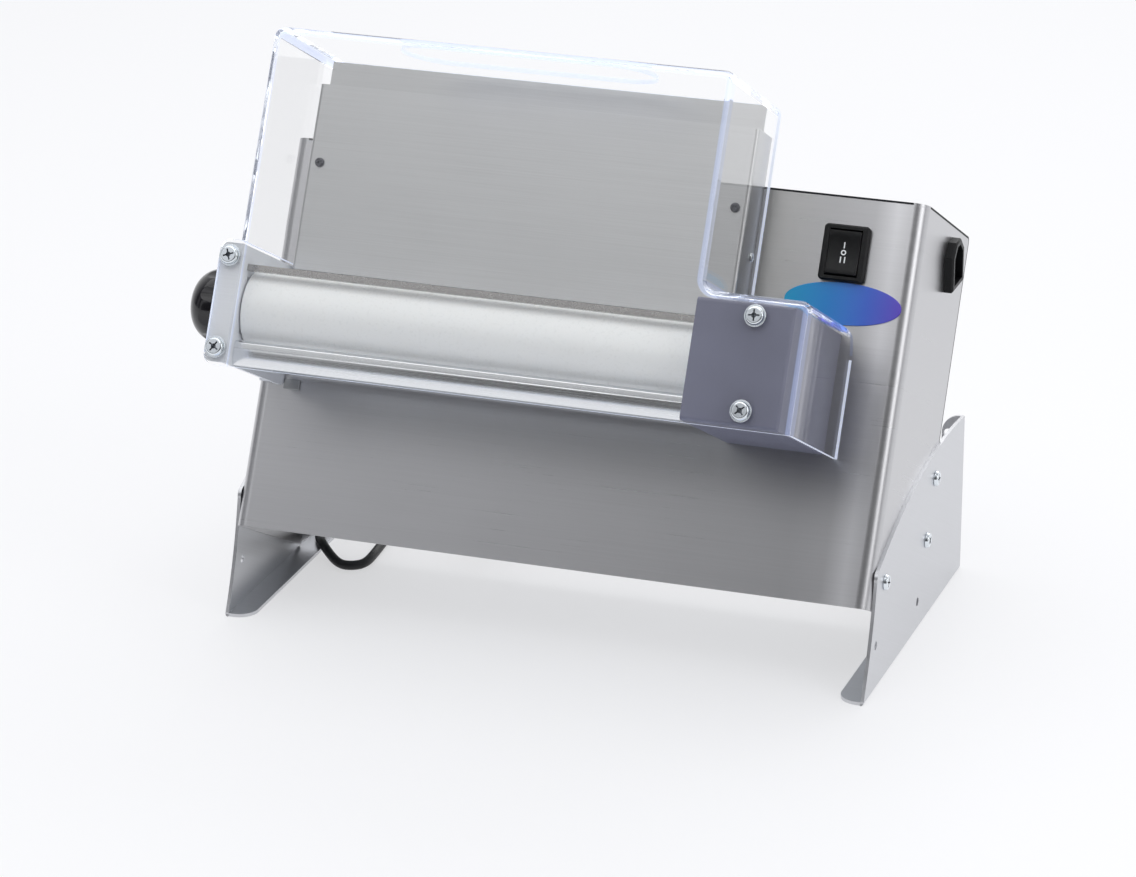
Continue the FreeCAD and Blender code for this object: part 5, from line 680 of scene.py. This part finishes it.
@dataclass
class Studio:
    """Camera, lamps, floor and surroundings."""

    eye: tuple[float, float, float] = (1.02545, -2.96949, 1.3476)
    azimuth: float = 19.19
    elevation: float = 21.21
    lens: float = 148.37
    floor_colour: str = "#edeef1"
    floor_glow: float = 0.55
    light: tuple[tuple[float, str], ...] = ((0.0, "#8f9094"), (0.4, "#c9cacd"), (0.75, "#f3f4f6"))
    flags: tuple[tuple[float, str], ...] = (
        (0.0, "#b0b1b4"), (0.2, "#f0f1f4"), (0.27, "#3e3f43"), (0.34, "#c3c4c8"),
        (0.43, "#3e3f43"), (0.56, "#c3c4c8"), (0.7, "#f6f7f9"), (1.0, "#fdfdfe"))
    front: tuple[float, float, float] = (0.8, -3.2, 6.0)
    front_middle: tuple[float, float] = (-0.306, 0.52)
    front_limits: tuple[float, float] = (0.2, 1.9)
    front_ends: tuple[float, float] = (-0.66, -0.58)
    glow_strength: float = 1.03
    near_white: str = "#fdfdfe"

    def camera(self) -> None:
        """Set the camera at the photograph's place, with no shift and no depth of field."""
        data = bpy.data.cameras.new("camera")
        data.lens = self.lens
        data.sensor_width = 36.0
        camera = bpy.data.objects.new("camera", data)
        bpy.context.scene.collection.objects.link(camera)
        camera.location = self.eye
        camera.rotation_euler = (math.radians(90 - self.elevation), 0.0, math.radians(self.azimuth))
        bpy.context.scene.camera = camera

    def lamp(self, name: str, place: Sequence[float], target: Sequence[float], size: Sequence[float],
             power: float) -> None:
        """Add a soft rectangular lamp.

        Args:
            name: Its name.
            place: Where it hangs.
            target: What it faces.
            size: Its width and height in metres.
            power: Its power in watts.
        """
        data = bpy.data.lights.new(name, "AREA")
        data.shape = "RECTANGLE"
        data.size, data.size_y = size
        data.energy = power
        lamp = bpy.data.objects.new(name, data)
        bpy.context.scene.collection.objects.link(lamp)
        lamp.location = place
        way = Vector(target) - Vector(place)
        lamp.rotation_euler = way.to_track_quat("-Z", "Y").to_euler()

    def floor(self) -> None:
        """Pale floor that keeps the machine's shadow and is near white to the camera."""
        clear_selection()
        bpy.ops.mesh.primitive_plane_add(size=14.0)
        floor = bpy.context.object
        floor.name = "floor"
        made = bpy.data.materials.new("studio_floor")
        made.use_nodes = True
        tree = made.node_tree
        tree.nodes.clear()
        matt = add(tree, "ShaderNodeBsdfPrincipled", {
            "Base Color": linear(self.floor_colour), "Roughness": 0.55})
        glow = add(tree, "ShaderNodeEmission", {
            "Color": linear(self.near_white), "Strength": self.glow_strength})
        share = add(tree, "ShaderNodeMath", {0: self.seen(tree), 1: self.floor_glow},
                    operation="MULTIPLY").outputs[0]
        mix = add(tree, "ShaderNodeMixShader", {
            0: share, 1: matt.outputs["BSDF"], 2: glow.outputs["Emission"]})
        add(tree, "ShaderNodeOutputMaterial", {"Surface": mix.outputs["Shader"]})
        floor.data.materials.append(made)

    def seen(self, tree: bpy.types.NodeTree) -> bpy.types.NodeSocket:
        """Whether a ray shows the surroundings: to the camera, in metal or through the clear cover.

        Args:
            tree: Node tree that gets the test.

        Returns:
            A socket that is 1 for such a ray.
        """
        path = add(tree, "ShaderNodeLightPath").outputs
        direct = add(tree, "ShaderNodeMath", {0: path["Is Camera Ray"], 1: path["Is Transmission Ray"]},
                     operation="MAXIMUM").outputs[0]
        return add(tree, "ShaderNodeMath", {0: direct, 1: path["Is Glossy Ray"]},
                   operation="MAXIMUM").outputs[0]

    def brightness(self, tree: bpy.types.NodeTree, way: bpy.types.NodeSocket) -> bpy.types.NodeSocket:
        """Brightness of what metal shows: in front it grows to the left and upwards, elsewhere it is even.

        Args:
            tree: The world's node tree.
            way: Direction of the ray.

        Returns:
            A socket for the background's strength.
        """
        level, across, up = self.front
        middle_x, middle_z = self.front_middle
        axes = add(tree, "ShaderNodeSeparateXYZ", {"Vector": way}).outputs
        base = level - up * middle_z - across * middle_x
        sideways = add(tree, "ShaderNodeMath", {0: axes["X"], 1: across, 2: base},
                       operation="MULTIPLY_ADD").outputs[0]
        slope = add(tree, "ShaderNodeMath", {0: axes["Z"], 1: up, 2: sideways}, operation="MULTIPLY_ADD")
        bounded = add(tree, "ShaderNodeClamp", {
            "Value": slope.outputs[0], "Min": self.front_limits[0], "Max": self.front_limits[1]})
        ahead = add(tree, "ShaderNodeMapRange", {
            "Value": axes["Y"], "From Min": self.front_ends[0],
            "From Max": self.front_ends[1]}).outputs["Result"]
        even = add(tree, "ShaderNodeMix", {"Factor": ahead, "A": bounded.outputs[0], "B": 1.0})
        return even.outputs["Result"]

    def world(self) -> None:
        """Surroundings: white behind the machine, dim in front, with two dark flags at its sides."""
        world = bpy.data.worlds.new("studio")
        bpy.context.scene.world = world
        world.use_nodes = True
        tree = world.node_tree
        tree.nodes.clear()
        way = add(tree, "ShaderNodeTexCoord").outputs["Generated"]
        forward = add(tree, "ShaderNodeSeparateXYZ", {"Vector": way}).outputs["Y"]
        level = add(tree, "ShaderNodeMapRange", {
            "Value": forward, "From Min": -1.0, "From Max": 1.0}).outputs["Result"]
        lit = add(tree, "ShaderNodeBackground", {"Color": ramp(tree, level, self.light), "Strength": 0.95})
        shown = add(tree, "ShaderNodeBackground", {
            "Color": ramp(tree, level, self.flags), "Strength": self.brightness(tree, way)})
        mix = add(tree, "ShaderNodeMixShader", {
            0: self.seen(tree), 1: lit.outputs["Background"], 2: shown.outputs["Background"]})
        add(tree, "ShaderNodeOutputWorld", {"Surface": mix.outputs["Shader"]})

    def build(self) -> None:
        """Make the whole studio."""
        bpy.context.scene.view_settings.view_transform = "Standard"
        self.camera()
        self.world()
        self.floor()
        self.lamp("top_light", (-0.5, -0.5, 2.6), (0.0, 0.0, 0.2), (3.4, 2.8), 34.0)
        self.lamp("right_light", (2.2, -0.6, 1.4), (0.0, 0.0, 0.2), (1.2, 1.6), 12.0)
        self.lamp("rear_light", (0.4, 2.2, 1.9), (0.0, 0.0, 0.2), (2.0, 1.0), 12.0)
        LOG.info("studio ready")


@dataclass
class MainsCord:
    """Black mains cord: from the rear panel under the body, round in a loop and into a coil behind."""

    diameter: float = 7.0
    length: float = 1.91
    coil_centre: tuple[float, float] = (-143.75, 258.914)
    outer: float = 50.5
    step: float = 3.9
    half_turns: int = 5
    low: float = 3.7
    high: float = 11.4
    points_per_half: int = 6
    outward: float = 1.035
    tail: tuple[tuple[float, float], ...] = ((0.022, 0.0126), (0.048, 0.0166), (0.070, 0.0187))
    route: tuple[tuple[float, float, float], ...] = (
        (-0.09375, 0.06745, 0.03704), (-0.09375, 0.08874, 0.02596), (-0.09475, 0.11891, 0.014),
        (-0.09875, 0.14691, 0.0055), (-0.11475, 0.17291, 0.0037), (-0.14075, 0.18391, 0.0037),
        (-0.16575, 0.17391, 0.0037), (-0.17975, 0.14991, 0.0037), (-0.18075, 0.12091, 0.0037),
        (-0.17575, 0.09091, 0.0037), (-0.17375, 0.05991, 0.0037), (-0.17135, 0.03191, 0.0037),
        (-0.17045, 0.01011, 0.0037), (-0.17805, 0.00201, 0.0037), (-0.18905, 0.00181, 0.0037),
        (-0.20465, 0.01741, 0.0066), (-0.22375, 0.04491, 0.0066), (-0.22625, 0.07391, 0.0066),
        (-0.21675, 0.10191, 0.0066), (-0.20375, 0.12991, 0.0066), (-0.19675, 0.16091, 0.0037),
        (-0.19575, 0.19491, 0.0037), (-0.19425, 0.22791, 0.0037))

    def station(self, count: float) -> tuple[float, float]:
        """Radius and height of the coil after a number of half turns.

        Args:
            count: Half turns from the coil's start.

        Returns:
            Radius and height in millimetres.
        """
        turn = self.half_turns + 1
        inward = count if count <= turn else 2 * self.half_turns + 1 - count
        if turn < count < turn + 1:
            share = count - turn
            inward = turn + share * (self.half_turns - 1 - turn)
        rise = min(1.0, max(0.0, count - self.half_turns))
        return self.outer - self.step * inward, self.low + rise * (self.high - self.low)

    def coil(self) -> list[tuple[float, float, float]]:
        """Control points of the coil's turns, drawn out a little because the line cuts inside them.

        Returns:
            Points in metres.
        """
        points = []
        per = self.points_per_half
        for index in range(2 * self.half_turns * per + 1):
            count = index / per
            radius, height = self.station(count)
            angle = math.pi * count
            reach = self.outward * radius
            points.append(((self.coil_centre[0] - reach * math.cos(angle)) * MM,
                           (self.coil_centre[1] + reach * math.sin(angle)) * MM, height * MM))
        return points

    def build(self, ends: Sequence[bpy.types.Object]) -> None:
        """Args:
            ends: The plug's pieces at its far end; not used.
        """
        data = bpy.data.curves.new("mains_cord", "CURVE")
        data.dimensions = "3D"
        data.bevel_depth = self.diameter / 2 * MM
        data.bevel_resolution = 5
        data.resolution_u = 8
        data.use_fill_caps = True
        radius = (self.outer - self.step) * MM
        left = self.coil_centre[0] * MM - radius
        behind = self.coil_centre[1] * MM
        tail = [(left, behind + back, height) for back, height in self.tail]
        points = list(self.route) + self.coil() + tail
        spline = data.splines.new("NURBS")
        spline.points.add(len(points) - 1)
        for point, place in zip(spline.points, points):
            point.co = (*place, 1.0)
        spline.order_u = 3
        spline.use_endpoint_u = True
        cord = bpy.data.objects.new("mains_cord", data)
        bpy.context.scene.collection.objects.link(cord)
        finish_piece(cord, RUBBER, "frame", ("power_cord", "power_cord_coil"))


@dataclass
class CrossScrew:
    """Pan head screw with a cross recess, drawn head up on z = 0, in millimetres."""

    head_r: float
    head: float
    shank_r: float
    shank: float
    washer_r: float = 0.0
    washer: float = 0.0
    sides: int = 40
    finish: Finish = ZINC
    crown: float = 0.84
    rounding: float = 0.13
    slot: tuple[float, float, float] = (1.15, 0.16, 0.95)
    pit: tuple[float, float, float, float] = (0.08, 0.27, 0.8, 0.25)
    recess_turn: float = 20.0

    def cone(self, low: float, high: float, height: float, base: float) -> bpy.types.Object:
        """Upright cone with cut off tip.

        Args:
            low: Radius of its lower end.
            high: Radius of its upper end.
            height: Its height.
            base: Height of its lower end.

        Returns:
            The cone, with its place in its mesh.
        """
        clear_selection()
        bpy.ops.mesh.primitive_cone_add(vertices=self.sides, radius1=low * MM, radius2=high * MM,
                                        depth=height * MM, location=(0, 0, (base + height / 2) * MM))
        return apply_place(bpy.context.object)

    def build(self) -> bpy.types.Object:
        """Model the screw.

        Returns:
            One screw that serves as the model for the rest.
        """
        radius, head_tall = self.head_r, self.head
        head = self.cone(radius, radius * self.crown, head_tall, 0.0)
        use_modifier(head, "BEVEL", width=radius * self.rounding * MM, segments=4, limit_method="ANGLE",
                     angle_limit=math.radians(30))
        head.data.materials.append(self.finish.material())
        long, wide, middle = self.slot
        low_r, high_r, deep, base = self.pit
        tools = [block((radius * long, radius * wide, head_tall), (0, 0, head_tall * middle)),
                 block((radius * wide, radius * long, head_tall), (0, 0, head_tall * middle)),
                 self.cone(radius * low_r, radius * high_r, head_tall * deep, head_tall * base)]
        for tool in tools:
            apply_place(tool, Matrix.Rotation(math.radians(self.recess_turn), 4, "Z"))
            # The recess faces take a darker colour: painted shade in the cross recess
            tool.data.materials.append(RECESS_SHADE.material())
            subtract(head, tool)
        parts = [head, cylinder(self.shank_r, self.shank, (0, 0, -self.shank), self.sides // 2)]
        if self.washer:
            parts.append(cylinder(self.washer_r, self.washer, (0, 0, -self.washer), self.sides, 0.25))
        for part in parts[1:]:
            part.data.materials.append(self.finish.material())
        screw = smooth(join(parts, "screw_model"))
        use_modifier(screw, "WEIGHTED_NORMAL", mode="FACE_AREA", weight=70, keep_sharp=True)
        return screw


class Facing(Enum):
    """Way that a screw's head points in the leaning frame, as a turn of its own axis."""

    FRONT = ("X", 90.0)
    RIGHT = ("Y", 90.0)
    LEFT = ("Y", -90.0)
    REAR = ("X", -90.0)


@dataclass
class ScrewSets:
    """All visible screws, each set on the CAD solids that it stands for."""

    cover_face: float = -128.0
    cover_x: tuple[float, ...] = (-221.0, 162.4)
    cover_w: tuple[float, ...] = (178.6, 113.4)
    foot_face: float = 240.0
    foot_places: tuple[tuple[float, float], ...] = ((131.8, 108.7), (131.8, 63.7), (27.5, 22.7))
    chute_x: tuple[float, ...] = (-202.0, 109.0)
    chute_front: tuple[float, float] = (-35.0, 264.0)
    chute_foot_w: tuple[float, ...] = (212.0, 272.0)
    chute_sheet: float = 1.5
    chute_wall: tuple[float, float] = (-211.0, 118.0)
    wall_screw: tuple[float, float] = (-9.0, 234.0)
    rear_face: float = 138.0
    rear_tabs: tuple[tuple[float, float], ...] = ((229.0, 40.0), (229.0, 150.0), (229.0, 262.0))
    rear_base: tuple[tuple[float, float], ...] = ((-150.0, 20.0), (0.0, 20.0), (150.0, 20.0))
    roll: float = 37.0

    def spread(self, sets: Sequence[tuple[CrossScrew, Sequence[tuple[Sequence[float], Facing]]]], name: str,
               slot: str) -> None:
        """Copy screws to their places and let them stand for their CAD node.

        Args:
            sets: Screws, each with its points (x, v, w) and facings.
            name: The CAD node's name.
            slot: The record's material slot; not used.
        """
        copies = []
        for screw, places in sets:
            model = screw.build()
            for index, (point, facing) in enumerate(places):
                axis, angle = facing.value
                roll = Matrix.Rotation(math.radians(self.roll * index), 4, "Z")
                turn = Matrix.Rotation(math.radians(angle), 4, axis)
                copies.append(copy_mesh(model, LEAN @ Matrix.Translation(Vector(point) * MM) @ turn @ roll))
            bpy.data.objects.remove(model)
        finish_piece(join(copies, name + "_cross"), None, "frame", (name,))

    def build(self) -> None:
        """Make the screws of the cover, the feet, the chute and the rear cover."""
        cover = [((x, self.cover_face - 1.0, w), Facing.FRONT) for x in self.cover_x for w in self.cover_w]
        self.spread([(CrossScrew(7.0, 2.9, 3.0, 8.0, 7.75, 1.0), cover)], "cover_screws", "polished_steel")
        sides = ((self.foot_face, Facing.RIGHT), (-self.foot_face, Facing.LEFT))
        feet = [((x, v, w), facing) for x, facing in sides for v, w in self.foot_places]
        self.spread([(CrossScrew(6.0, 2.8, 3.0, 12.5), feet)], "foot_screws", "polished_steel")
        front_v, front_w = self.chute_front
        long_ones = [((x, front_v, front_w), Facing.FRONT) for x in self.chute_x]
        short_ones = [((x, -self.chute_sheet, w), Facing.FRONT) for x in self.chute_x
                      for w in self.chute_foot_w]
        left, right = self.chute_wall
        short_ones += [((right, *self.wall_screw), Facing.RIGHT), ((left, *self.wall_screw), Facing.LEFT)]
        self.spread([(CrossScrew(3.6, 2.0, 2.0, 19.0, sides=24, finish=SCREW_GREY), long_ones),
                     (CrossScrew(3.6, 1.6, 2.0, 5.0, sides=24), short_ones)],
                    "chute_screws", "polished_steel")
        tabs = [(side * x, w) for side in (-1, 1) for x, w in self.rear_tabs] + list(self.rear_base)
        back = [((x, self.rear_face, w), Facing.REAR) for x, w in tabs]
        self.spread([(CrossScrew(4.0, 2.1, 2.0, 7.5, sides=28), back)], "rear_cover_screws", "polished_steel")


@dataclass
class ScraperLip:
    """Polished lip that hangs from the scraper bar and turns crumbs away, held in the two end plates."""

    left: float = -213.4
    right: float = 119.4
    top: tuple[float, float] = (-112.6, 116.0)
    radius: float = 22.0
    start: float = 2.0
    sweep: float = 32.0
    sheet: float = 1.0
    strips: int = 12

    def build(self) -> None:
        """Spin the lip's arc from one edge and give it its sheet's thickness."""
        clear_selection()
        bpy.ops.mesh.primitive_plane_add(size=1.0)
        lip = bpy.context.object
        lip.name = lip.data.name = "scraper_lip"
        bpy.ops.object.mode_set(mode="EDIT")
        bpy.ops.mesh.select_all(action="DESELECT")
        bpy.ops.object.mode_set(mode="OBJECT")
        for vertex in lip.data.vertices:
            vertex.select = vertex.co.y > 0
        bpy.ops.object.mode_set(mode="EDIT")
        bpy.ops.mesh.delete(type="VERT")
        bpy.ops.object.mode_set(mode="OBJECT")
        v, w = self.top
        for vertex, x in zip(lip.data.vertices, (self.left, self.right)):
            vertex.co = Vector((x, v, w)) * MM
            vertex.select = True
        turn = math.radians(self.start)
        centre = Vector((0.0, v + self.radius * math.cos(turn), w + self.radius * math.sin(turn))) * MM
        bpy.ops.object.mode_set(mode="EDIT")
        bpy.ops.mesh.select_all(action="SELECT")
        bpy.ops.mesh.spin(steps=self.strips, angle=-math.radians(self.sweep), center=centre, axis=(1, 0, 0))
        bpy.ops.object.mode_set(mode="OBJECT")
        apply_place(lip, LEAN)
        use_modifier(lip, "SOLIDIFY", thickness=self.sheet * MM, offset=-1.0)
        bpy.ops.object.mode_set(mode="EDIT")
        bpy.ops.mesh.select_all(action="SELECT")
        bpy.ops.mesh.normals_make_consistent(inside=False)
        bpy.ops.object.mode_set(mode="OBJECT")
        use_modifier(lip, "BEVEL", width=0.2 * MM, segments=2, limit_method="ANGLE",
                     angle_limit=math.radians(50))
        finish_piece(smooth(lip), LIP_STEEL, "frame")


@dataclass
class PlateTab:
    """Bent tab of the left end plate, flat on the front panel below the scraper."""

    left: float = -216.0
    right: float = -203.6
    low: float = 102.4
    high: float = 109.6
    thick: float = 1.4

    def build(self) -> None:
        """Make the tab with rounded corners."""
        size = (self.right - self.left, self.thick, self.high - self.low)
        middle = ((self.left + self.right) / 2, -self.thick / 2, (self.low + self.high) / 2)
        tab = apply_place(block(size, middle, 0.5), LEAN)
        tab.name = tab.data.name = "end_plate_tab"
        finish_piece(smooth(tab), CAST, "frame")


@dataclass
class CordSleeve:
    """Ribbed rubber sleeve that keeps the cord from kinking where it leaves the gland."""

    mouth: tuple[float, float, float] = (-0.09375, 0.06745, 0.03704)
    length: float = 27.0
    wide: float = 5.4
    narrow: float = 4.2
    ribs: int = 6
    groove: float = 0.6
    rib_share: float = 0.62
    core_share: float = 0.6
    rib_round: float = 0.35

    def build(self) -> None:
        """Make the sleeve from a tapered core and short tapered ribs, along the gland's own axis."""
        pitch = self.length / self.ribs
        parts = []
        for index in range(self.ribs):
            radius = self.wide + (self.narrow - self.wide) * index / (self.ribs - 1)
            parts.append(cylinder(radius, pitch * self.rib_share, (0, 0, index * pitch), 32, self.rib_round))
            parts.append(cylinder(radius - self.groove, pitch * self.core_share,
                                  (0, 0, (index + 0.5) * pitch), 32))
        sleeve = join(parts, "cord_sleeve")
        lean_way = Matrix.Rotation(-math.radians(90.0) - TILT, 4, "X")
        apply_place(sleeve, Matrix.Translation(self.mouth) @ lean_way)
        finish_piece(smooth(sleeve), RUBBER, "frame")


@dataclass
class SwitchMarks:
    """Painted marks I, O and II on the rocker's hollow face."""

    x: float = 184.0
    w: float = 245.0
    face: float = -5.3
    hollow_r: float = 90.0
    spacing: float = 5.2
    stroke: float = 0.85
    tall: float = 4.4
    thick: float = 0.14
    ring_r: float = 1.9
    apart: float = 1.5

    def depth(self, offset: float) -> float:
        """Place of the hollow face across the panel, at an offset up or down from its middle.

        Args:
            offset: Distance up from the rocker's middle.

        Returns:
            The v value of the face.
        """
        return self.face - (self.hollow_r - math.sqrt(self.hollow_r ** 2 - offset ** 2))

    def bar(self, x: float, offset: float) -> bpy.types.Object:
        """One upright stroke, laid along the hollow face.

        Args:
            x: Its place from the rocker's middle.
            offset: Its height from the middle.

        Returns:
            The stroke.
        """
        stroke = block((self.stroke, self.thick, self.tall), (0.0, 0.0, 0.0), 0.05)
        place = Vector((self.x + x, self.depth(offset), self.w + offset)) * MM
        slope = math.asin(offset / self.hollow_r)
        return apply_place(stroke, Matrix.Translation(place) @ Matrix.Rotation(slope, 4, "X"))

    def build(self) -> None:
        """Make the three marks as one piece on the rocker."""
        ring = cylinder(self.ring_r, self.thick, (0, 0, -self.thick / 2), 40)
        subtract(ring, cylinder(self.ring_r - self.stroke, 1.0, (0, 0, -0.5), 40))
        apply_place(ring, Matrix.Translation(Vector((self.x, self.depth(0.0), self.w)) * MM)
                    @ Matrix.Rotation(math.radians(90), 4, "X"))
        strokes = [self.bar(0.0, self.spacing), self.bar(-self.apart, -self.spacing),
                   self.bar(self.apart, -self.spacing)]
        marks = join([ring] + strokes, "rocker_marks")
        apply_place(marks, LEAN)
        finish_piece(marks, MARK_WHITE, "rocker")


@dataclass
class CadSkins:
    """Finishes of the CAD nodes: a smooth copy with broken edges for what shows, the bare node for the
    rest."""

    frame: dict
    merge: float = 0.002
    flat: float = 0.3
    sharp: float = 50.0
    straight: float = 0.99
    cover_top: float = 335.0
    cover_gap: float = 0.05

    def skin(self, node: str, finish: Finish, bevel: float, rim: Finish | None = None,
             rim_width: float = 3.2) -> bpy.types.Object:
        """Stand a merged copy of a node in for it, its sharp edges broken as on the real piece.

        Args:
            node: The CAD node.
            finish: Its finish.
            bevel: Width of the broken edges in millimetres, or 0.
            rim: Finish of the sheet's cut edges, where they get one of their own, such as a painted seam
                shadow.
            rim_width: Widest cut edge in millimetres.

        Returns:
            The copy.
        """
        source = self.frame["nodes"][node]
        copy = bpy.data.objects.new(node + "_skin", source.data.copy())
        bpy.context.scene.collection.objects.link(copy)
        activate(copy)
        bpy.ops.object.mode_set(mode="EDIT")
        bpy.ops.mesh.select_all(action="SELECT")
        bpy.ops.mesh.remove_doubles(threshold=self.merge * MM)
        bpy.ops.mesh.dissolve_limited(angle_limit=math.radians(self.flat))
        bpy.ops.object.mode_set(mode="OBJECT")
        if copy.data.has_custom_normals:
            bpy.ops.mesh.customdata_custom_splitnormals_clear()
        finish_piece(copy, finish, source["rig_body"], (node,))
        if rim:
            copy.data.materials.append(rim.material())
            self.mark_rims(copy, rim_width * MM)
        if bevel:
            use_modifier(copy, "BEVEL", width=bevel * MM, segments=2, limit_method="ANGLE",
                         angle_limit=math.radians(40), use_clamp_overlap=True)
        smooth(copy)
        use_modifier(copy, "WEIGHTED_NORMAL", mode="FACE_AREA", weight=90, keep_sharp=True)
        return copy

    def mark_rims(self, piece: bpy.types.Object, width: float) -> None:
        """Give the narrow faces between two sharp edges, a sheet's cut edges, the second material.

        Args:
            piece: The piece.
            width: Widest such face in metres.
        """
        mesh = bmesh.new()
        mesh.from_mesh(piece.data)
        for face in mesh.faces:
            long_edges = [edge for edge in face.edges if edge.calc_length() > width]
            around = sum(edge.calc_length() for edge in face.edges)
            narrow = face.calc_area() < 0.5 * around * width
            sharp = all(edge.calc_face_angle(0.0) > math.radians(self.sharp) for edge in long_edges)
            if narrow and sharp and len(long_edges) > 1:
                face.material_index = 1
        mesh.to_mesh(piece.data)
        mesh.free()

    def mark_bends(self, piece: bpy.types.Object) -> None:
        """Give the clear cover's bends and its top sheet, which lies above cover_top, their own materials.

        Args:
            piece: The cover.
        """
        for finish in (CLEAR_BEND, CLEAR_TOP):
            piece.data.materials.append(finish.material())
        to_lean = LEAN.inverted()
        for face in (face for face in piece.data.polygons if face.material_index == 0):
            normal = to_lean.to_3x3() @ face.normal
            high = (to_lean @ face.center).z > self.cover_top * MM
            if max(abs(part) for part in normal) < self.straight:
                face.material_index = 2
            elif high and abs(normal.z) > self.straight:
                face.material_index = 3

    def dress(self) -> None:
        """Give every CAD node its finish."""
        skins = {
            "front_housing": (PANEL_STEEL, 0.25), "left_foot": (FOOT_STEEL, 0.3),
            "right_foot": (FOOT_STEEL, 0.3), "left_end_plate": (PLATE_STEEL, 0.3),
            "gear_cover": (COATED_SHEET, 0.2), "guard_bar": (BAR_STEEL, 0.4),
            "scraper_bar": (LIP_STEEL, 0.25), "discharge_slide": (SLIDE_STEEL, 0.0),
            "front_chute": (CHUTE_STEEL, 0.6), "rear_chute": (REAR_CHUTE_STEEL, 0.2),
            "adjusting_knob": (PHENOLIC, 0.3), "switch_body": (NYLON, 0.25),
            "switch_rocker": (NYLON, 0.3), "side_socket": (NYLON, 0.25),
            "oval_plate": (PLATE_BLUE, 0.45), "front_roller": (ROLLER_WHITE, 0.0),
            "rear_roller": (ROLLER_WHITE, 0.0), "cord_gland": (NYLON, 0.3),
            "left_cap_plate": (PLATE_STEEL, 0.25), "right_end_plate": (PLATE_STEEL, 0.2),
            "base_plate": (DULL_ZINC, 0.2), "left_bearing_block": (PLATE_STEEL, 0.2),
            "adjusting_shaft": (TURNED_STEEL, 0.0), "panel_screws": (ZINC, 0.0),
        }
        # The rear cover's cut edges are painted near black: painted shadow in the seams
        self.skin("rear_cover", BACK_STEEL, 0.2, SEAM_SHADE, 1.7)
        cover = self.skin("clear_cover", CLEAR, 0.0, SAWN_CLEAR)
        # A face exactly on the gear cover's front would render in patches
        use_modifier(cover, "DISPLACE", strength=-self.cover_gap * MM, mid_level=0.0)
        self.mark_bends(cover)
        for node, (finish, bevel) in skins.items():
            self.skin(node, finish, bevel)
        plain = {
            DULL_ZINC: ("foot_nuts", "plate_pillars", "panel_nuts", "flour_pan", "cap_spacers",
                        "gearbox_bolts", "capacitor_clip"),
            PLATE_STEEL: ("outboard_plate", "right_cap_plate", "right_bearing_block"),
            TURNED_STEEL: ("front_roller_shaft", "rear_roller_shaft", "output_shaft", "chute_spacers"),
            GEAR_STEEL: ("front_roller_gear", "rear_roller_gear", "drive_gear"),
            BRONZE: ("front_bushes", "rear_bushes"),
            CAST: ("gearbox_housing", "gearbox_lid"),
            MOTOR_PAINT: ("motor_housing", "motor_fan_cover"),
            NYLON: ("motor_fan", "control_box"),
            GREY_CAN: ("run_capacitor",),
        }
        for finish, nodes in plain.items():
            for node in nodes:
                data = self.frame["nodes"][node].data
                data.materials.clear()
                data.materials.append(finish.material())
        LOG.info("dressed %d nodes", len(skins) + 2 + sum(len(nodes) for nodes in plain.values()))


def main() -> None:
    """Load the frame and dress it."""
    logging.basicConfig(level=logging.INFO, format="%(name)s: %(message)s")
    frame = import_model()
    Studio().build()
    skins = CadSkins(frame)
    MainsCord().build([skins.skin("plug", NYLON, 0.8), skins.skin("plug_pins", PIN_METAL, 0.3)])
    CordSleeve().build()
    ScrewSets().build()
    ScraperLip().build()
    PlateTab().build()
    SwitchMarks().build()
    skins.dress()
    clear_selection()


if __name__ == "__main__":
    main()
